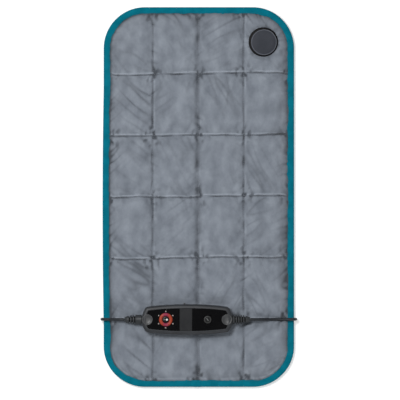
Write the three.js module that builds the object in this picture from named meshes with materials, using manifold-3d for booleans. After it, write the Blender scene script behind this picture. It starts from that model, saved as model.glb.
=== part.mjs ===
// Quilted heating pad with an in-line hand controller, lying flat with its front up.
// Millimetres, +Z up, +Y along the pad. The origin is the middle of the footprint, on the floor.
import * as THREE from 'three';
import { mergeVertices } from 'three/addons/utils/BufferGeometryUtils.js';
import Module from 'manifold-3d';

const wasm = await Module();
wasm.setup();

// Clearances
const gap = 0.3;
const overrun = 2;
const mergeTolerance = 0.00001;

// Pad: outline, sewn pockets and the heights of its layers
const padWidth = 305;
const padLength = 610;
const cornerRadius = 66;
const seamSpacingX = 72.8;
const seamSpacingY = 98.2;
const seamShiftX = -0.8;
const seamShiftY = 1.6;
const seamShoulder = 11;
const pocketShoulder = 6;
const crownHeight = 20;
const seamHeight = 15.8;
const undersideSeamHeight = 3.5;
const edgeRise = 28;
const quiltPlane = 12.3;

// Edge binding: a folded tape round the thin rim of the two quilts
const bindingWidth = 10.4;
const bindingWall = 0.9;
const rimMiddle = 8.6;
const rimThickness = 3.4;
const rimInset = 2.2;
const rimShoulder = 11.1;
const bindingCornerSteps = 8;
const quiltCornerSteps = 3;

// Heating layer
const carrierThickness = 0.5;
const carrierInset = 36;
const heatingWireDiameter = 1.4;
const heatingRuns = 8;
const heatingMargin = 12;
const heatingTurnSteps = 4;
const cutoutLength = 13;
const cutoutWidth = 5;
const cutoutThickness = 2.2;

// Round terminal housing clamped through the pad
const housingInsetX = 49.5;
const housingInsetY = 56;
const capDiameter = 42;
const capHeight = 5.2;
const capBevel = 1.6;
const capShiftX = 1;
const capShiftY = -0.6;
const capSpigotDepth = 2.4;
const baseDiameter = 47;
const baseThickness = 3;
const barrelDiameter = 31;
const barrelBore = 21;
const rearDiameter = 44;
const rearWall = 1.8;
const rearFoot = 0.6;
const terminalSize = 12.5;
const terminalHeight = 7;
const housingScrewCircle = 26;
const housingScrewCount = 3;
const housingScrewReach = 8;
const leadReliefAngle = 240;
const leadReliefLength = 20;
const leadReliefDiameter = 9.2;
const leadReliefTipDiameter = 6.6;

// Screws
const screwShank = 2.6;
const screwHead = 5;
const screwHeadHeight = 1.6;

// Hand controller
const bodyX = -18.7;
const bodyY = -194.8;
const bodyRest = 17.5;
const bodyLength = 144.6;
const bodyWidth = 48.8;
const bodyHeight = 24;
const bodyEdgeWidth = 5;
const bodyEdgeHeight = 3.6;
const shellWall = 2.2;
const splitHeight = 11;
const deckThickness = 2.5;
const panelThickness = 1.6;
const panelInset = 7;
const endBossRadius = 8.5;
const endBossInset = 8.8;
const bandCentre = -2;
const bandWidth = 20.2;
const bandProud = 0.4;
const postRadius = 3.4;
const postX = 55;
const postY = 13.5;

// Keys, light ring and light guide
const levelKeyShift = -0.65;
const levelKeyDiameter = 10.7;
const ringDiameter = 21.4;
const ringProud = 1;
const ringBevel = 0.9;
const powerKeyShift = 1.05;
const powerKeyDiameter = 13;
const keyProud = 0.9;
const keyFlange = 1.5;
const keyFlangeThickness = 1.2;
const keyStemDiameter = 4;
const keyTravel = 0.8;
const lightCount = 6;
const lightCircle = 26.2;
const lightDiameter = 2;
const guidePlateWidth = 4;
const guidePlateThickness = 1.4;

// Side slider
const sliderX = -4.2;
const sliderTravel = 4;
const sliderLength = 9.4;
const sliderHeight = 4;
const sliderRidgeWidth = 2.4;
const sliderProud = 1.8;
const sliderTongueWidth = 3;
const sliderTongueHeight = 1.8;

// Circuit board and what stands on it
const boardLength = 96;
const boardWidth = 34;
const boardThickness = 1.6;
const boardHeight = 8.3;
const switchSize = 6.2;
const switchHeight = 3.5;
const plungerDiameter = 3.2;
const ledLength = 3;
const ledHeight = 1.1;
const slideSwitchLength = 14;
const slideSwitchWidth = 6;
const slideSwitchHeight = 6.4;
const fuseDiameter = 5.2;
const fuseLength = 20;
const capacitorSize = [16, 7, 8];
const triacSize = [10, 4.5, 8.2];
const chipSize = [9, 7, 1.5];

// Strain reliefs of the controller
const reliefLength = 28;
const reliefDiameter = 15.2;
const reliefTipDiameter = 7.4;
const reliefNeckDiameter = 11;
const reliefFlangeDiameter = 14.6;
const reliefFlangeThickness = 2.4;
const reliefRibs = 3;
const reliefGrooveDepth = 1.6;
const reliefRibShares = [0.34, 0.78];

// Cords
const cordDiameter = 4.6;
const cordSides = 8;
const turnGap = 0.5;
const coilX = -37;
const coilMiddleRadius = 29;
const coilTurnsIn = 5;
const coilTurnsOut = 4.75;
const coilSteps = 24;
const coilSides = 6;
const tieThickness = 0.6;
const tieWidth = 9;

// Plug
const plugLength = 35;
const plugWidth = 24;
const plugHeight = 11.2;
const plugEdge = 2.4;
const plugReliefLength = 18;
const plugReliefDiameter = 9.4;
const bladeLength = 17;
const bladeWidth = 6.35;
const bladeThickness = 1.5;
const bladeSpacing = 12.7;
const bladeRoot = 6;

// Finishes
const finish = (color, roughness, metalness = 0) =>
  new THREE.MeshStandardMaterial({ color, roughness, metalness });
const plush = finish(0x80868f, 0.95);
const backing = finish(0x74797f, 0.95);
const tealTape = finish(0x0a6b80, 0.85);
const felt = finish(0xd9d6cc, 0.95);
const redWire = finish(0xa8432f, 0.6);
const charcoal = finish(0x3b3d43, 0.55);
const blackPlastic = finish(0x17181a, 0.5);
const glossBlack = finish(0x08090a, 0.12);
const matteBand = finish(0x2f2f32, 0.7);
const redRing = finish(0xd8503a, 0.35);
const whiteGuide = finish(0xe9e9e6, 0.4);
const cordJacket = finish(0x26292e, 0.5);
const boardGreen = finish(0x1f5a3a, 0.6);
const whitePlastic = finish(0xd5d4ce, 0.5);
const amberFilm = finish(0xb5852c, 0.45);
const steel = finish(0xb0b3b6, 0.35, 1);
const brass = finish(0xc7a760, 0.35, 1);

// A closed geometry as a solid, with its shared vertices merged and its faces turned outwards
function solid(geometry) {
  const bare = geometry.clone();
  for (const name of Object.keys(bare.attributes)) {
    if (name !== 'position') bare.deleteAttribute(name);
  }
  const merged = mergeVertices(bare, mergeTolerance);
  const positions = merged.attributes.position.array;
  const index = merged.index.array;
  const corners = [];
  let volume = 0;
  for (let i = 0; i < index.length; i += 3) {
    const [a, b, c] = [index[i], index[i + 1], index[i + 2]];
    if (a === b || b === c || c === a) continue;
    corners.push(a, b, c);
    const [pa, pb, pc] = [a, b, c].map((k) => new THREE.Vector3().fromArray(positions, 3 * k));
    volume += pa.dot(pb.cross(pc));
  }
  if (volume < 0) corners.reverse();
  return new wasm.Manifold(new wasm.Mesh({
    numProp: 3,
    vertProperties: new Float32Array(positions),
    triVerts: new Uint32Array(corners),
  }));
}

// A solid back as a geometry for a mesh
function geometryOf(body) {
  const mesh = body.getMesh();
  const geometry = new THREE.BufferGeometry();
  geometry.setAttribute('position', new THREE.Float32BufferAttribute(mesh.vertProperties, 3));
  geometry.setIndex(Array.from(mesh.triVerts));
  geometry.computeVertexNormals();
  return geometry;
}

function place(group, name, body, material) {
  const mesh = new THREE.Mesh(geometryOf(body), material);
  mesh.name = name;
  group.add(mesh);
}

const join = (...bodies) => bodies.reduce((whole, body) => whole.add(body));
const cut = (body, ...tools) => tools.reduce((rest, tool) => rest.subtract(tool), body);
const moved = (geometry, x, y, z) => geometry.translate(x, y, z);

// A flat plate of an outline between two heights
function plate(shape, low, high) {
  const geometry = new THREE.ExtrudeGeometry(shape, { depth: high - low, bevelEnabled: false });
  return solid(moved(geometry, 0, 0, low));
}

function block(x, y, lengthX, lengthY, low, high) {
  const geometry = new THREE.BoxGeometry(lengthX, lengthY, high - low);
  return solid(moved(geometry, x, y, (low + high) / 2));
}

function drum(x, y, radius, low, high, sides = 32) {
  const geometry = new THREE.CylinderGeometry(radius, radius, high - low, sides);
  geometry.rotateX(Math.PI / 2);
  return solid(moved(geometry, x, y, (low + high) / 2));
}

// A turned piece about Z, from pairs of radius and height
function turned(x, y, pairs, sides = 28) {
  const profile = pairs.map(([radius, height]) => new THREE.Vector2(radius, height));
  const geometry = new THREE.LatheGeometry(profile, sides);
  geometry.rotateX(Math.PI / 2);
  return solid(moved(geometry, x, y, 0));
}

// The same with its axis along a level direction, from pairs of radius and distance along it
function turnedAlong(origin, angle, pairs, sides = 16) {
  const profile = pairs.map(([radius, distance]) => new THREE.Vector2(radius, distance));
  const geometry = new THREE.LatheGeometry(profile, sides);
  geometry.rotateZ(-Math.PI / 2);
  geometry.rotateZ(THREE.MathUtils.degToRad(angle));
  return solid(moved(geometry, ...origin));
}

const polygon = (points) => new THREE.Shape(points.map(([x, y]) => new THREE.Vector2(x, y)));

// A convex outline, anticlockwise, with each side moved inwards by a distance
function inset(points, distance) {
  const reach = 2 * Math.max(...points.flat().map(Math.abs));
  let kept = [[-1, -1], [1, -1], [1, 1], [-1, 1]].map(([x, y]) => [x * reach, y * reach]);
  points.forEach(([x, y], i) => {
    const [nextX, nextY] = points[(i + 1) % points.length];
    const normal = new THREE.Vector2(y - nextY, nextX - x).normalize();
    const within = (p) => (p[0] - x) * normal.x + (p[1] - y) * normal.y - distance;
    kept = kept.flatMap((p, k) => {
      const q = kept[(k + 1) % kept.length];
      const [a, b] = [within(p), within(q)];
      const crossing = [p[0] + ((q[0] - p[0]) * a) / (a - b), p[1] + ((q[1] - p[1]) * a) / (a - b)];
      return [...(a >= 0 ? [p] : []), ...(a * b < 0 ? [crossing] : [])];
    });
  });
  return kept;
}

// One unbroken tube through points, ring by ring, for routes that are never upright
function tubeThrough(points, radius, sides) {
  const up = new THREE.Vector3(0, 0, 1);
  const last = points.length - 1;
  const positions = [];
  points.forEach((point, i) => {
    const along = points[Math.min(i + 1, last)].clone().sub(points[Math.max(i - 1, 0)]).normalize();
    const side = along.clone().cross(up).normalize();
    const rise = side.clone().cross(along);
    for (let k = 0; k < sides; k += 1) {
      const turn = (2 * Math.PI * (k + 1 / 2)) / sides;
      const corner = point.clone().addScaledVector(side, radius * Math.cos(turn));
      positions.push(...corner.addScaledVector(rise, radius * Math.sin(turn)).toArray());
    }
  });
  positions.push(...points[0].toArray(), ...points[last].toArray());
  const [start, end] = [points.length * sides, points.length * sides + 1];
  const index = [];
  for (let k = 0; k < sides; k += 1) {
    const next = (k + 1) % sides;
    for (let i = 0; i < last; i += 1) {
      const [a, b] = [i * sides + k, i * sides + next];
      index.push(a, b, b + sides, a, b + sides, a + sides);
    }
    index.push(start, next, k, end, last * sides + k, last * sides + next);
  }
  const geometry = new THREE.BufferGeometry();
  geometry.setAttribute('position', new THREE.Float32BufferAttribute(positions, 3));
  geometry.setIndex(index);
  return solid(geometry);
}

const model = new THREE.Group();
const pad = new THREE.Group();
const controller = new THREE.Group();
const cords = new THREE.Group();
controller.position.set(bodyX, bodyY, bodyRest + gap);
model.add(pad, controller, cords);

// Pad outline: its corners as arcs, at any distance inside the edge
const halfWidth = padWidth / 2;
const halfLength = padLength / 2;
const housingX = halfWidth - housingInsetX;
const housingY = halfLength - housingInsetY;

// How far a point lies inside the pad's rounded outline
function depthInside(x, y) {
  const dx = Math.abs(x) - (halfWidth - cornerRadius);
  const dy = Math.abs(y) - (halfLength - cornerRadius);
  return cornerRadius - Math.hypot(Math.max(dx, 0), Math.max(dy, 0)) - Math.min(Math.max(dx, dy), 0);
}

// The outline at a distance inside the edge, anticlockwise, with the same steps at any distance
function padOutline(distance, cornerSteps) {
  const radius = cornerRadius - distance;
  const points = [];
  for (const [sx, sy, from] of [[1, -1, -90], [1, 1, 0], [-1, 1, 90], [-1, -1, 180]]) {
    for (let k = 0; k <= cornerSteps; k += 1) {
      const turn = THREE.MathUtils.degToRad(from + (90 * k) / cornerSteps);
      points.push([
        sx * (halfWidth - cornerRadius) + radius * Math.cos(turn),
        sy * (halfLength - cornerRadius) + radius * Math.sin(turn),
      ]);
    }
  }
  return points;
}

// Sewn seams that cross the pad
const seamsX = [-1, 0, 1].map((k) => seamShiftX + k * seamSpacingX);
const seamsY = [-2, -1, 0, 1, 2].map((k) => seamShiftY + k * seamSpacingY);
const flatInset = bindingWidth + rimShoulder;

// Grid lines along one direction: each seam with its shoulders, and a crown line between seams
function gridLines(seams, half, shoulder, crowns, cornerRows) {
  const lines = [...seams];
  for (const seam of seams) lines.push(seam - shoulder, seam + shoulder);
  for (let k = 0; crowns && k + 1 < seams.length; k += 1) lines.push((seams[k] + seams[k + 1]) / 2);
  for (const sign of [-1, 1]) {
    if (cornerRows) {
      for (let k = 0; k <= quiltCornerSteps; k += 1) {
        const turn = (Math.PI / 2) * (k / quiltCornerSteps);
        lines.push(sign * (half - cornerRadius + (cornerRadius - flatInset) * Math.sin(turn)));
      }
    } else {
      const outer = sign < 0 ? seams[0] : seams[seams.length - 1];
      lines.push((outer + sign * (half - flatInset)) / 2, sign * (half - flatInset));
    }
  }
  return lines.sort((a, b) => a - b);
}

// Half the width of the flat inner region at a height along the pad
function innerHalfWidth(y) {
  const radius = cornerRadius - flatInset;
  const dy = Math.min(Math.max(Math.abs(y) - (halfLength - cornerRadius), 0), radius);
  return halfWidth - cornerRadius + Math.sqrt(radius * radius - dy * dy);
}

// A quilt: a grid of seams and crowns inside, and two rings of faces out to the thin rim
function quilt(topAt, bottomAt, shoulder, crowns) {
  const xs = gridLines(seamsX, halfWidth, shoulder, crowns, false);
  const ys = gridLines(seamsY, halfLength, shoulder, crowns, true);
  const [seamLeft, seamRight] = [seamsX[0], seamsX[seamsX.length - 1]];
  const straight = halfWidth - flatInset;
  const columns = xs.length;
  const rows = ys.length;
  const flat = [];
  for (const y of ys) {
    const half = innerHalfWidth(y);
    for (const x of xs) {
      let px = x;
      if (x > seamRight) px = seamRight + ((x - seamRight) * (half - seamRight)) / (straight - seamRight);
      if (x < seamLeft) px = seamLeft + ((x - seamLeft) * (-half - seamLeft)) / (-straight - seamLeft);
      flat.push([px, y]);
    }
  }
  const loop = [];
  for (let i = 0; i < columns; i += 1) loop.push(i);
  for (let j = 1; j < rows; j += 1) loop.push(j * columns + columns - 1);
  for (let i = columns - 2; i >= 0; i -= 1) loop.push((rows - 1) * columns + i);
  for (let j = rows - 2; j > 0; j -= 1) loop.push(j * columns);
  const outward = loop.map((k) => {
    const [x, y] = flat[k];
    const dx = Math.max(Math.abs(x) - (halfWidth - cornerRadius), 0) * Math.sign(x);
    const dy = Math.max(Math.abs(y) - (halfLength - cornerRadius), 0) * Math.sign(y);
    return new THREE.Vector2(dx, dy).normalize();
  });
  const ringStart = flat.length;
  for (const step of [rimShoulder, flatInset - rimInset]) {
    loop.forEach((k, n) => flat.push([
      flat[k][0] + outward[n].x * step,
      flat[k][1] + outward[n].y * step,
    ]));
  }
  const count = flat.length;
  const around = loop.length;
  const positions = [];
  flat.forEach(([x, y], k) => positions.push(x, y, topAt(x, y, k >= ringStart)));
  flat.forEach(([x, y], k) => positions.push(x, y, bottomAt(x, y, k >= ringStart)));
  const index = [];
  const face = (a, b, c, d) => {
    index.push(a, b, c, a, c, d);
    index.push(a + count, c + count, b + count, a + count, d + count, c + count);
  };
  for (let j = 0; j + 1 < rows; j += 1) {
    for (let i = 0; i + 1 < columns; i += 1) {
      const a = j * columns + i;
      face(a, a + 1, a + columns + 1, a + columns);
    }
  }
  for (let n = 0; n < around; n += 1) {
    const m = (n + 1) % around;
    face(loop[m], loop[n], ringStart + n, ringStart + m);
    face(ringStart + m, ringStart + n, ringStart + around + n, ringStart + around + m);
    const [a, b] = [ringStart + around + n, ringStart + around + m];
    index.push(a, a + count, b + count, a, b + count, b);
  }
  const geometry = new THREE.BufferGeometry();
  geometry.setAttribute('position', new THREE.Float32BufferAttribute(positions, 3));
  geometry.setIndex(index);
  return solid(geometry);
}

// How full a pocket is at a distance from its seams, from 0 in the seam to 1 on the crown
function fullness(value, seams, spacing) {
  const nearest = Math.min(...seams.map((seam) => Math.abs(value - seam)));
  return 1 - (1 - Math.min(1, (2 * nearest) / spacing)) ** 5;
}

const rimTop = rimMiddle + rimThickness / 2;
const rimBottom = rimMiddle - rimThickness / 2;

function topSurface(x, y, onRim) {
  if (onRim) return rimTop;
  const full = fullness(x, seamsX, seamSpacingX) * fullness(y, seamsY, seamSpacingY);
  const inside = seamHeight + (crownHeight - seamHeight) * full;
  const share = Math.min(1, (depthInside(x, y) - bindingWidth) / edgeRise);
  return rimTop + (inside - rimTop) * (1 - (1 - share) ** 3);
}

function undersideSurface(x, y, onRim) {
  if (onRim) return rimBottom;
  const near = (value, seams) => Math.min(...seams.map((seam) => Math.abs(value - seam)));
  const nearest = Math.min(near(x, seamsX), near(y, seamsY));
  return undersideSeamHeight * Math.max(0, 1 - nearest / seamShoulder);
}

const quiltJoint = (onRim) => (onRim ? rimMiddle : quiltPlane);

// Heating layer: a carrier sheet between the quilts with the heating wire laid on it
const carrierLow = quiltPlane + gap / 2;
const carrierHigh = carrierLow + carrierThickness;
const wireMiddle = carrierHigh + gap + heatingWireDiameter / 2;
const heatedTop = wireMiddle + heatingWireDiameter / 2 + gap;
const carrierHalfWidth = halfWidth - carrierInset;
const carrierCorner = cornerRadius - carrierInset;
const carrierFrom = seamsY[0] + 2 * seamShoulder;
const carrierTo = halfLength - carrierInset;

function carrierOutline(grow) {
  const [x, low, high] = [carrierHalfWidth + grow, carrierFrom - grow, carrierTo + grow];
  const radius = carrierCorner + grow;
  const shape = new THREE.Shape();
  shape.absarc(x - radius, high - radius, radius, 0, Math.PI / 2);
  shape.absarc(-x + radius, high - radius, radius, Math.PI / 2, Math.PI);
  shape.absarc(-x + radius, low + radius, radius, Math.PI, (3 * Math.PI) / 2);
  shape.absarc(x - radius, low + radius, radius, -Math.PI / 2, 0);
  return shape;
}

function roundedPlate(shape, low, high, segments) {
  const options = { depth: high - low, bevelEnabled: false, curveSegments: segments };
  return solid(moved(new THREE.ExtrudeGeometry(shape, options), 0, 0, low));
}

const barrelRadius = barrelDiameter / 2;
const cornerSegments = 3;
const carrier = cut(
  roundedPlate(carrierOutline(0), carrierLow, carrierHigh, cornerSegments),
  drum(housingX, housingY, barrelRadius + gap, 0, crownHeight),
);
place(pad, 'heating_carrier', carrier, felt);

// The wire runs up and down the pad and turns back in half circles, clear of the round housing
const runReach = carrierHalfWidth - heatingMargin;
const runSpacing = (2 * runReach) / (heatingRuns - 1);
const runLow = carrierFrom + heatingMargin + runSpacing / 2;
const runHigh = housingY - baseDiameter / 2 - heatingMargin - runSpacing / 2;

function heatingRoute() {
  const points = [];
  for (let run = 0; run < heatingRuns; run += 1) {
    const x = runReach - run * runSpacing;
    const upward = run % 2 === 1;
    const [from, to] = upward ? [runLow, runHigh] : [runHigh, runLow];
    if (run === 0) points.push(new THREE.Vector3(x, from, wireMiddle));
    for (let k = 0; run > 0 && k <= heatingTurnSteps; k += 1) {
      const turn = (Math.PI * k) / heatingTurnSteps;
      const reach = Math.sin(turn) * (upward ? -1 : 1);
      points.push(new THREE.Vector3(
        x + (runSpacing / 2) * (1 + Math.cos(turn)),
        from + (runSpacing / 2) * reach,
        wireMiddle,
      ));
    }
    if (run === heatingRuns - 1) points.push(new THREE.Vector3(x, to, wireMiddle));
  }
  return points;
}

place(pad, 'heating_wire', tubeThrough(heatingRoute(), heatingWireDiameter / 2, 6), redWire);

// Two thermal cut-outs on the carrier, each between two runs of the wire
const cutoutHigh = carrierHigh + gap + cutoutThickness;
const cutoutPlaces = [-1, 1].map((sign) => [
  sign * runSpacing,
  (seamsY[sign < 0 ? 1 : 3] + seamsY[sign < 0 ? 2 : 4]) / 2,
]);
cutoutPlaces.forEach(([x, y], k) => {
  const body = block(x, y, cutoutWidth, cutoutLength, carrierHigh + gap, cutoutHigh);
  place(pad, `thermal_cutout_${k + 1}`, body, whitePlastic);
});

// Controller outline, a quarter at a time, as shares of its half length and half width
const bodyOutlineShares = [[1, 0.3], [0.93, 0.74], [0.905, 0.8], [0.86, 0.84], [0.65, 0.915],
  [0.35, 0.975]];
const halfBody = [bodyLength / 2, bodyWidth / 2];

// The band on the face, and the two keys, each in the middle between the band and an end boss
const bandFrom = bandCentre - bandWidth / 2;
const bandTo = bandCentre + bandWidth / 2;
const bossCentre = halfBody[0] - endBossInset;
const bossFace = bossCentre - endBossRadius;
const levelKeyX = (bandFrom - bossFace) / 2 + levelKeyShift;
const powerKeyX = (bandTo + bossFace) / 2 + powerKeyShift;

function bodyOutline() {
  const quarter = bodyOutlineShares.map(([u, v]) => [u * halfBody[0], v * halfBody[1]]);
  const right = quarter.map(([x, y]) => [x, y]);
  const left = [...quarter].reverse().map(([x, y]) => [-x, y]);
  const upper = [...right, [0, halfBody[1]], ...left];
  return [...upper, ...upper.map(([x, y]) => [-x, -y])];
}

// Cord routes, each a list of points chosen by hand
const padLeadRoute = [
  [81.9, -194.8, 28.95], [87, -194.8, 28.8], [95, -194.8, 27], [104, -194.8, 23.6],
  [113, -194.8, 20.8], [122, -194.8, 19.5], [131, -194.8, 19.3], [139, -194.8, 20.1],
  [144, -194.8, 20.6], [148.4, -194.8, 20.8], [153, -194.8, 19.6], [156.4, -194.8, 16.2],
  [157.6, -194.8, 11.6], [156.4, -194.8, 7], [153, -194.8, 3.8], [148.4, -194.8, 2.6],
  [138, -194.8, 2.4], [118, -194.8, 2.4], [100, -194.8, 2.4], [86, -191.2, 2.4],
  [75.8, -181, 2.4], [72, -167, 2.4], [72, -130, 2.4], [72, -80, 2.4], [72, -30, 2.4],
  [72, 20, 2.4], [72, 70, 2.4], [72, 120, 2.4], [72, 150, 2.4], [72, 172, 2.7],
  [72.6, 185, 3.5], [74.6, 195, 4.8], [78.1, 205, 5.8], [81.85, 212.4, 6],
];
const mainsLeadRoute = [
  [-119.3, -194.8, 28.95], [-124, -194.8, 28.8], [-131, -194.8, 27.2], [-138, -194.8, 24.2],
  [-144, -194.8, 21.7], [-148.4, -194.8, 20.8], [-153, -194.8, 19.6], [-156.4, -194.8, 16.2],
  [-157.6, -194.8, 11.6], [-156.4, -194.8, 7], [-153, -194.8, 3.8], [-148.4, -194.8, 2.6],
  [-138, -194.8, 2.4], [-118, -194.8, 2.4], [-98, -194.8, 2.4], [-78, -194.8, 2.5],
  [-60, -194.8, 2.8], [-50, -194.8, 3.1], [-41.9, -194.8, 3.2],
];
const plugLeadRoute = [
  [-77.48, -157.95, 8.3], [-77.48, -164, 8.3], [-77.48, -172, 8.3], [-77.48, -183, 8.3],
  [-77.5, -194.8, 8.1], [-77.4, -205, 7], [-76.3, -216, 4.9], [-73, -227, 3.3],
  [-66.5, -238, 2.7], [-57, -246, 3.2], [-47, -250.4, 4.6], [-38.5, -251.9, 5.5],
  [-31.7, -252, 5.6],
];

// The point of each route where it has tucked under the pad, and where the pad's lead starts to climb
const padLeadTuck = 15;
const padLeadClimb = 28;
const mainsLeadTuck = 11;

// A smooth curve through the points, with one step from each to the next
class Route extends THREE.CatmullRomCurve3 {
  getPointAt(share, target) {
    return this.getPoint(share, target);
  }

  getTangentAt(share, target) {
    return this.getTangent(share, target);
  }
}

const cordRadius = cordDiameter / 2;

function cordTube(points) {
  const path = new Route(points.map((point) => new THREE.Vector3(...point)), false, 'centripetal');
  const section = [];
  for (let k = 0; k < cordSides; k += 1) {
    const turn = (2 * Math.PI * k) / cordSides;
    section.push([cordRadius * Math.cos(turn), cordRadius * Math.sin(turn)]);
  }
  const options = { steps: points.length - 1, extrudePath: path, bevelEnabled: false };
  return solid(new THREE.ExtrudeGeometry(polygon(section), options));
}

// The coil: it starts on the incoming lead, spirals in on the floor, climbs and spirals out on top
const turnPitch = cordDiameter + turnGap;
const coilOuter = coilMiddleRadius + (coilTurnsIn * turnPitch) / 2;
const coilY = bodyY + coilOuter;
const coilLow = tieThickness + gap + cordRadius;
const coilHigh = coilLow + turnPitch;
const coilTop = coilHigh + cordRadius;

function coilRoute() {
  const points = [];
  const total = coilTurnsIn + coilTurnsOut;
  const count = Math.round(total * coilSteps);
  for (let k = 0; k <= count; k += 1) {
    const turns = k / coilSteps;
    const radius = coilOuter - turnPitch * (coilTurnsIn - Math.abs(turns - coilTurnsIn));
    const climb = THREE.MathUtils.smoothstep(turns, coilTurnsIn - 1 / 4, coilTurnsIn + 1 / 4);
    const angle = 2 * Math.PI * turns - Math.PI / 2;
    points.push(new THREE.Vector3(
      coilX + radius * Math.cos(angle),
      coilY + radius * Math.sin(angle),
      coilLow + (coilHigh - coilLow) * climb,
    ));
  }
  const first = points[0].clone().add(new THREE.Vector3(-cordDiameter, 0, 0));
  const exit = points[points.length - 1].clone().add(new THREE.Vector3(0, -cordDiameter, 0));
  return [first, ...points, exit];
}

// The least gap between turns, on points that lie more than a quarter turn apart along the cord
function leastGap(points) {
  let least = Infinity;
  for (let i = 0; i < points.length; i += 1) {
    for (let j = i + coilSteps / 4; j < points.length; j += 1) {
      least = Math.min(least, points[i].distanceTo(points[j]) - cordDiameter);
    }
  }
  return least;
}

const coilPoints = coilRoute();
console.log(`mains_coil: least gap between turns ${leastGap(coilPoints).toFixed(2)} mm`);
place(cords, 'mains_coil', tubeThrough(coilPoints, cordRadius, coilSides), cordJacket);
place(cords, 'pad_lead', cordTube(padLeadRoute), cordJacket);
place(cords, 'mains_lead', cordTube(mainsLeadRoute), cordJacket);
place(cords, 'plug_lead', cordTube(plugLeadRoute), cordJacket);

// The tie round the coil's turns, on the side away from where the cord comes in
const bundleWidth = coilTurnsIn * turnPitch + cordDiameter;
const tieY = coilY + coilMiddleRadius;
const tieTop = coilTop + gap + tieThickness;
const tieHalf = bundleWidth / 2 + gap + tieThickness;
const tie = cut(
  block(coilX, tieY, tieWidth, 2 * tieHalf, 0, tieTop),
  block(coilX, tieY, tieWidth + overrun, 2 * (tieHalf - tieThickness), tieThickness, tieTop - tieThickness),
);
place(cords, 'cord_tie', tie, blackPlastic);

// Plug: a flat moulded body with a tapered tail, and two blades set into its face
const plugStart = [plugLeadRoute.at(-1)[0] + gap, plugLeadRoute.at(-1)[1], plugHeight / 2];
const plugFrom = plugStart[0] + plugReliefLength;
const plugTo = plugFrom + plugLength;
const plugRound = plugWidth / 4;

function plugOutline() {
  const shape = new THREE.Shape();
  const half = plugWidth / 2 - plugEdge;
  const [low, high] = [plugFrom + plugEdge, plugTo - plugEdge];
  shape.moveTo(high, -half);
  shape.lineTo(high, half);
  shape.lineTo(low + plugRound, half);
  shape.lineTo(low, half - plugRound);
  shape.lineTo(low, plugRound - half);
  shape.lineTo(low + plugRound, -half);
  return shape;
}

const plugShell = new THREE.ExtrudeGeometry(plugOutline(), {
  depth: plugHeight - 2 * plugEdge,
  bevelThickness: plugEdge,
  bevelSize: plugEdge,
  bevelSegments: 2,
});
const plugTail = turnedAlong(plugStart, 0, [
  [0, 0], [cordRadius + gap, 0], [plugReliefDiameter / 2, plugReliefLength],
  [plugReliefDiameter / 2, plugReliefLength + plugEdge + gap], [0, plugReliefLength + plugEdge + gap],
]);
const bladeRows = [-1, 1].map((sign) => plugStart[1] + (sign * bladeSpacing) / 2);

function blade(y, grow) {
  const from = plugTo - bladeRoot - grow;
  const to = plugTo + bladeLength + grow;
  const half = bladeWidth / 2 + grow;
  return block((from + to) / 2, y, to - from, bladeThickness + 2 * grow, plugStart[2] - half,
    plugStart[2] + half);
}

const plugBody = cut(
  join(solid(moved(plugShell, 0, plugStart[1], plugEdge)), plugTail),
  ...bladeRows.map((y) => blade(y, gap)),
);
place(cords, 'plug_body', plugBody, blackPlastic);
bladeRows.forEach((y, k) => place(cords, `plug_blade_${k + 1}`, blade(y, 0), steel));

// Top quilt, pressed flat under the round housing and the controller
const baseLow = crownHeight - baseThickness;
const heatedCavity = roundedPlate(carrierOutline(2 * gap), 0, heatedTop, cornerSegments);
const bodyFootprint = inset(bodyOutline(), -2 * gap).map(([x, y]) => [x + bodyX, y + bodyY]);
const topQuilt = cut(
  quilt(topSurface, (x, y, onRim) => quiltJoint(onRim) + gap / 2, pocketShoulder, true),
  heatedCavity,
  drum(housingX, housingY, baseDiameter / 2 + gap, baseLow, 2 * crownHeight, 24),
  drum(housingX, housingY, barrelRadius + gap, 0, crownHeight, 24),
  plate(polygon(bodyFootprint), bodyRest, 2 * crownHeight),
  ...cutoutPlaces.map(([x, y]) => block(x, y, cutoutWidth + 2 * gap, cutoutLength + 2 * gap,
    quiltPlane, cutoutHigh + gap)),
);
place(pad, 'top_quilt', topQuilt, plush);

// A channel in the underside along a stretch of cord, with a corner only where the cord turns
function channel(route, height, side = 3 * gap) {
  const half = cordRadius + side;
  const points = route.filter((point, i) => {
    const before = route[Math.max(i - 1, 0)];
    const after = route[Math.min(i + 1, route.length - 1)];
    const ends = i === 0 || i === route.length - 1;
    const straight = before[0] === after[0] || before[1] === after[1];
    return ends || !straight;
  });
  const sides = [-1, 1].map((sign) => points.map((point, i) => {
    const before = points[Math.max(i - 1, 0)];
    const after = points[Math.min(i + 1, points.length - 1)];
    const along = new THREE.Vector2(after[0] - before[0], after[1] - before[1]).normalize();
    return [point[0] - sign * along.y * half, point[1] + sign * along.x * half];
  }));
  return plate(polygon([...sides[0], ...sides[1].reverse()]), -overrun, height);
}

// Bottom quilt, lying flat on the floor, with room for the housing and the put-away cord
const lowCord = cordDiameter + gap;
const padLeadFlat = padLeadRoute.slice(padLeadTuck, padLeadClimb + 2);
const padLeadRising = padLeadRoute.slice(padLeadClimb);
const mainsLeadBelow = mainsLeadRoute.slice(mainsLeadTuck);
const rearTop = quiltPlane - gap / 2;
const rearRadius = rearDiameter / 2;
const reliefMiddle = padLeadRoute.at(-1)[2];
const reliefTurn = THREE.MathUtils.degToRad(leadReliefAngle);
const reliefReach = rearRadius + leadReliefLength;
const reliefChannel = [reliefReach + overrun, rearRadius - rearWall].map((reach) => [
  housingX + reach * Math.cos(reliefTurn),
  housingY + reach * Math.sin(reliefTurn),
]);

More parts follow.
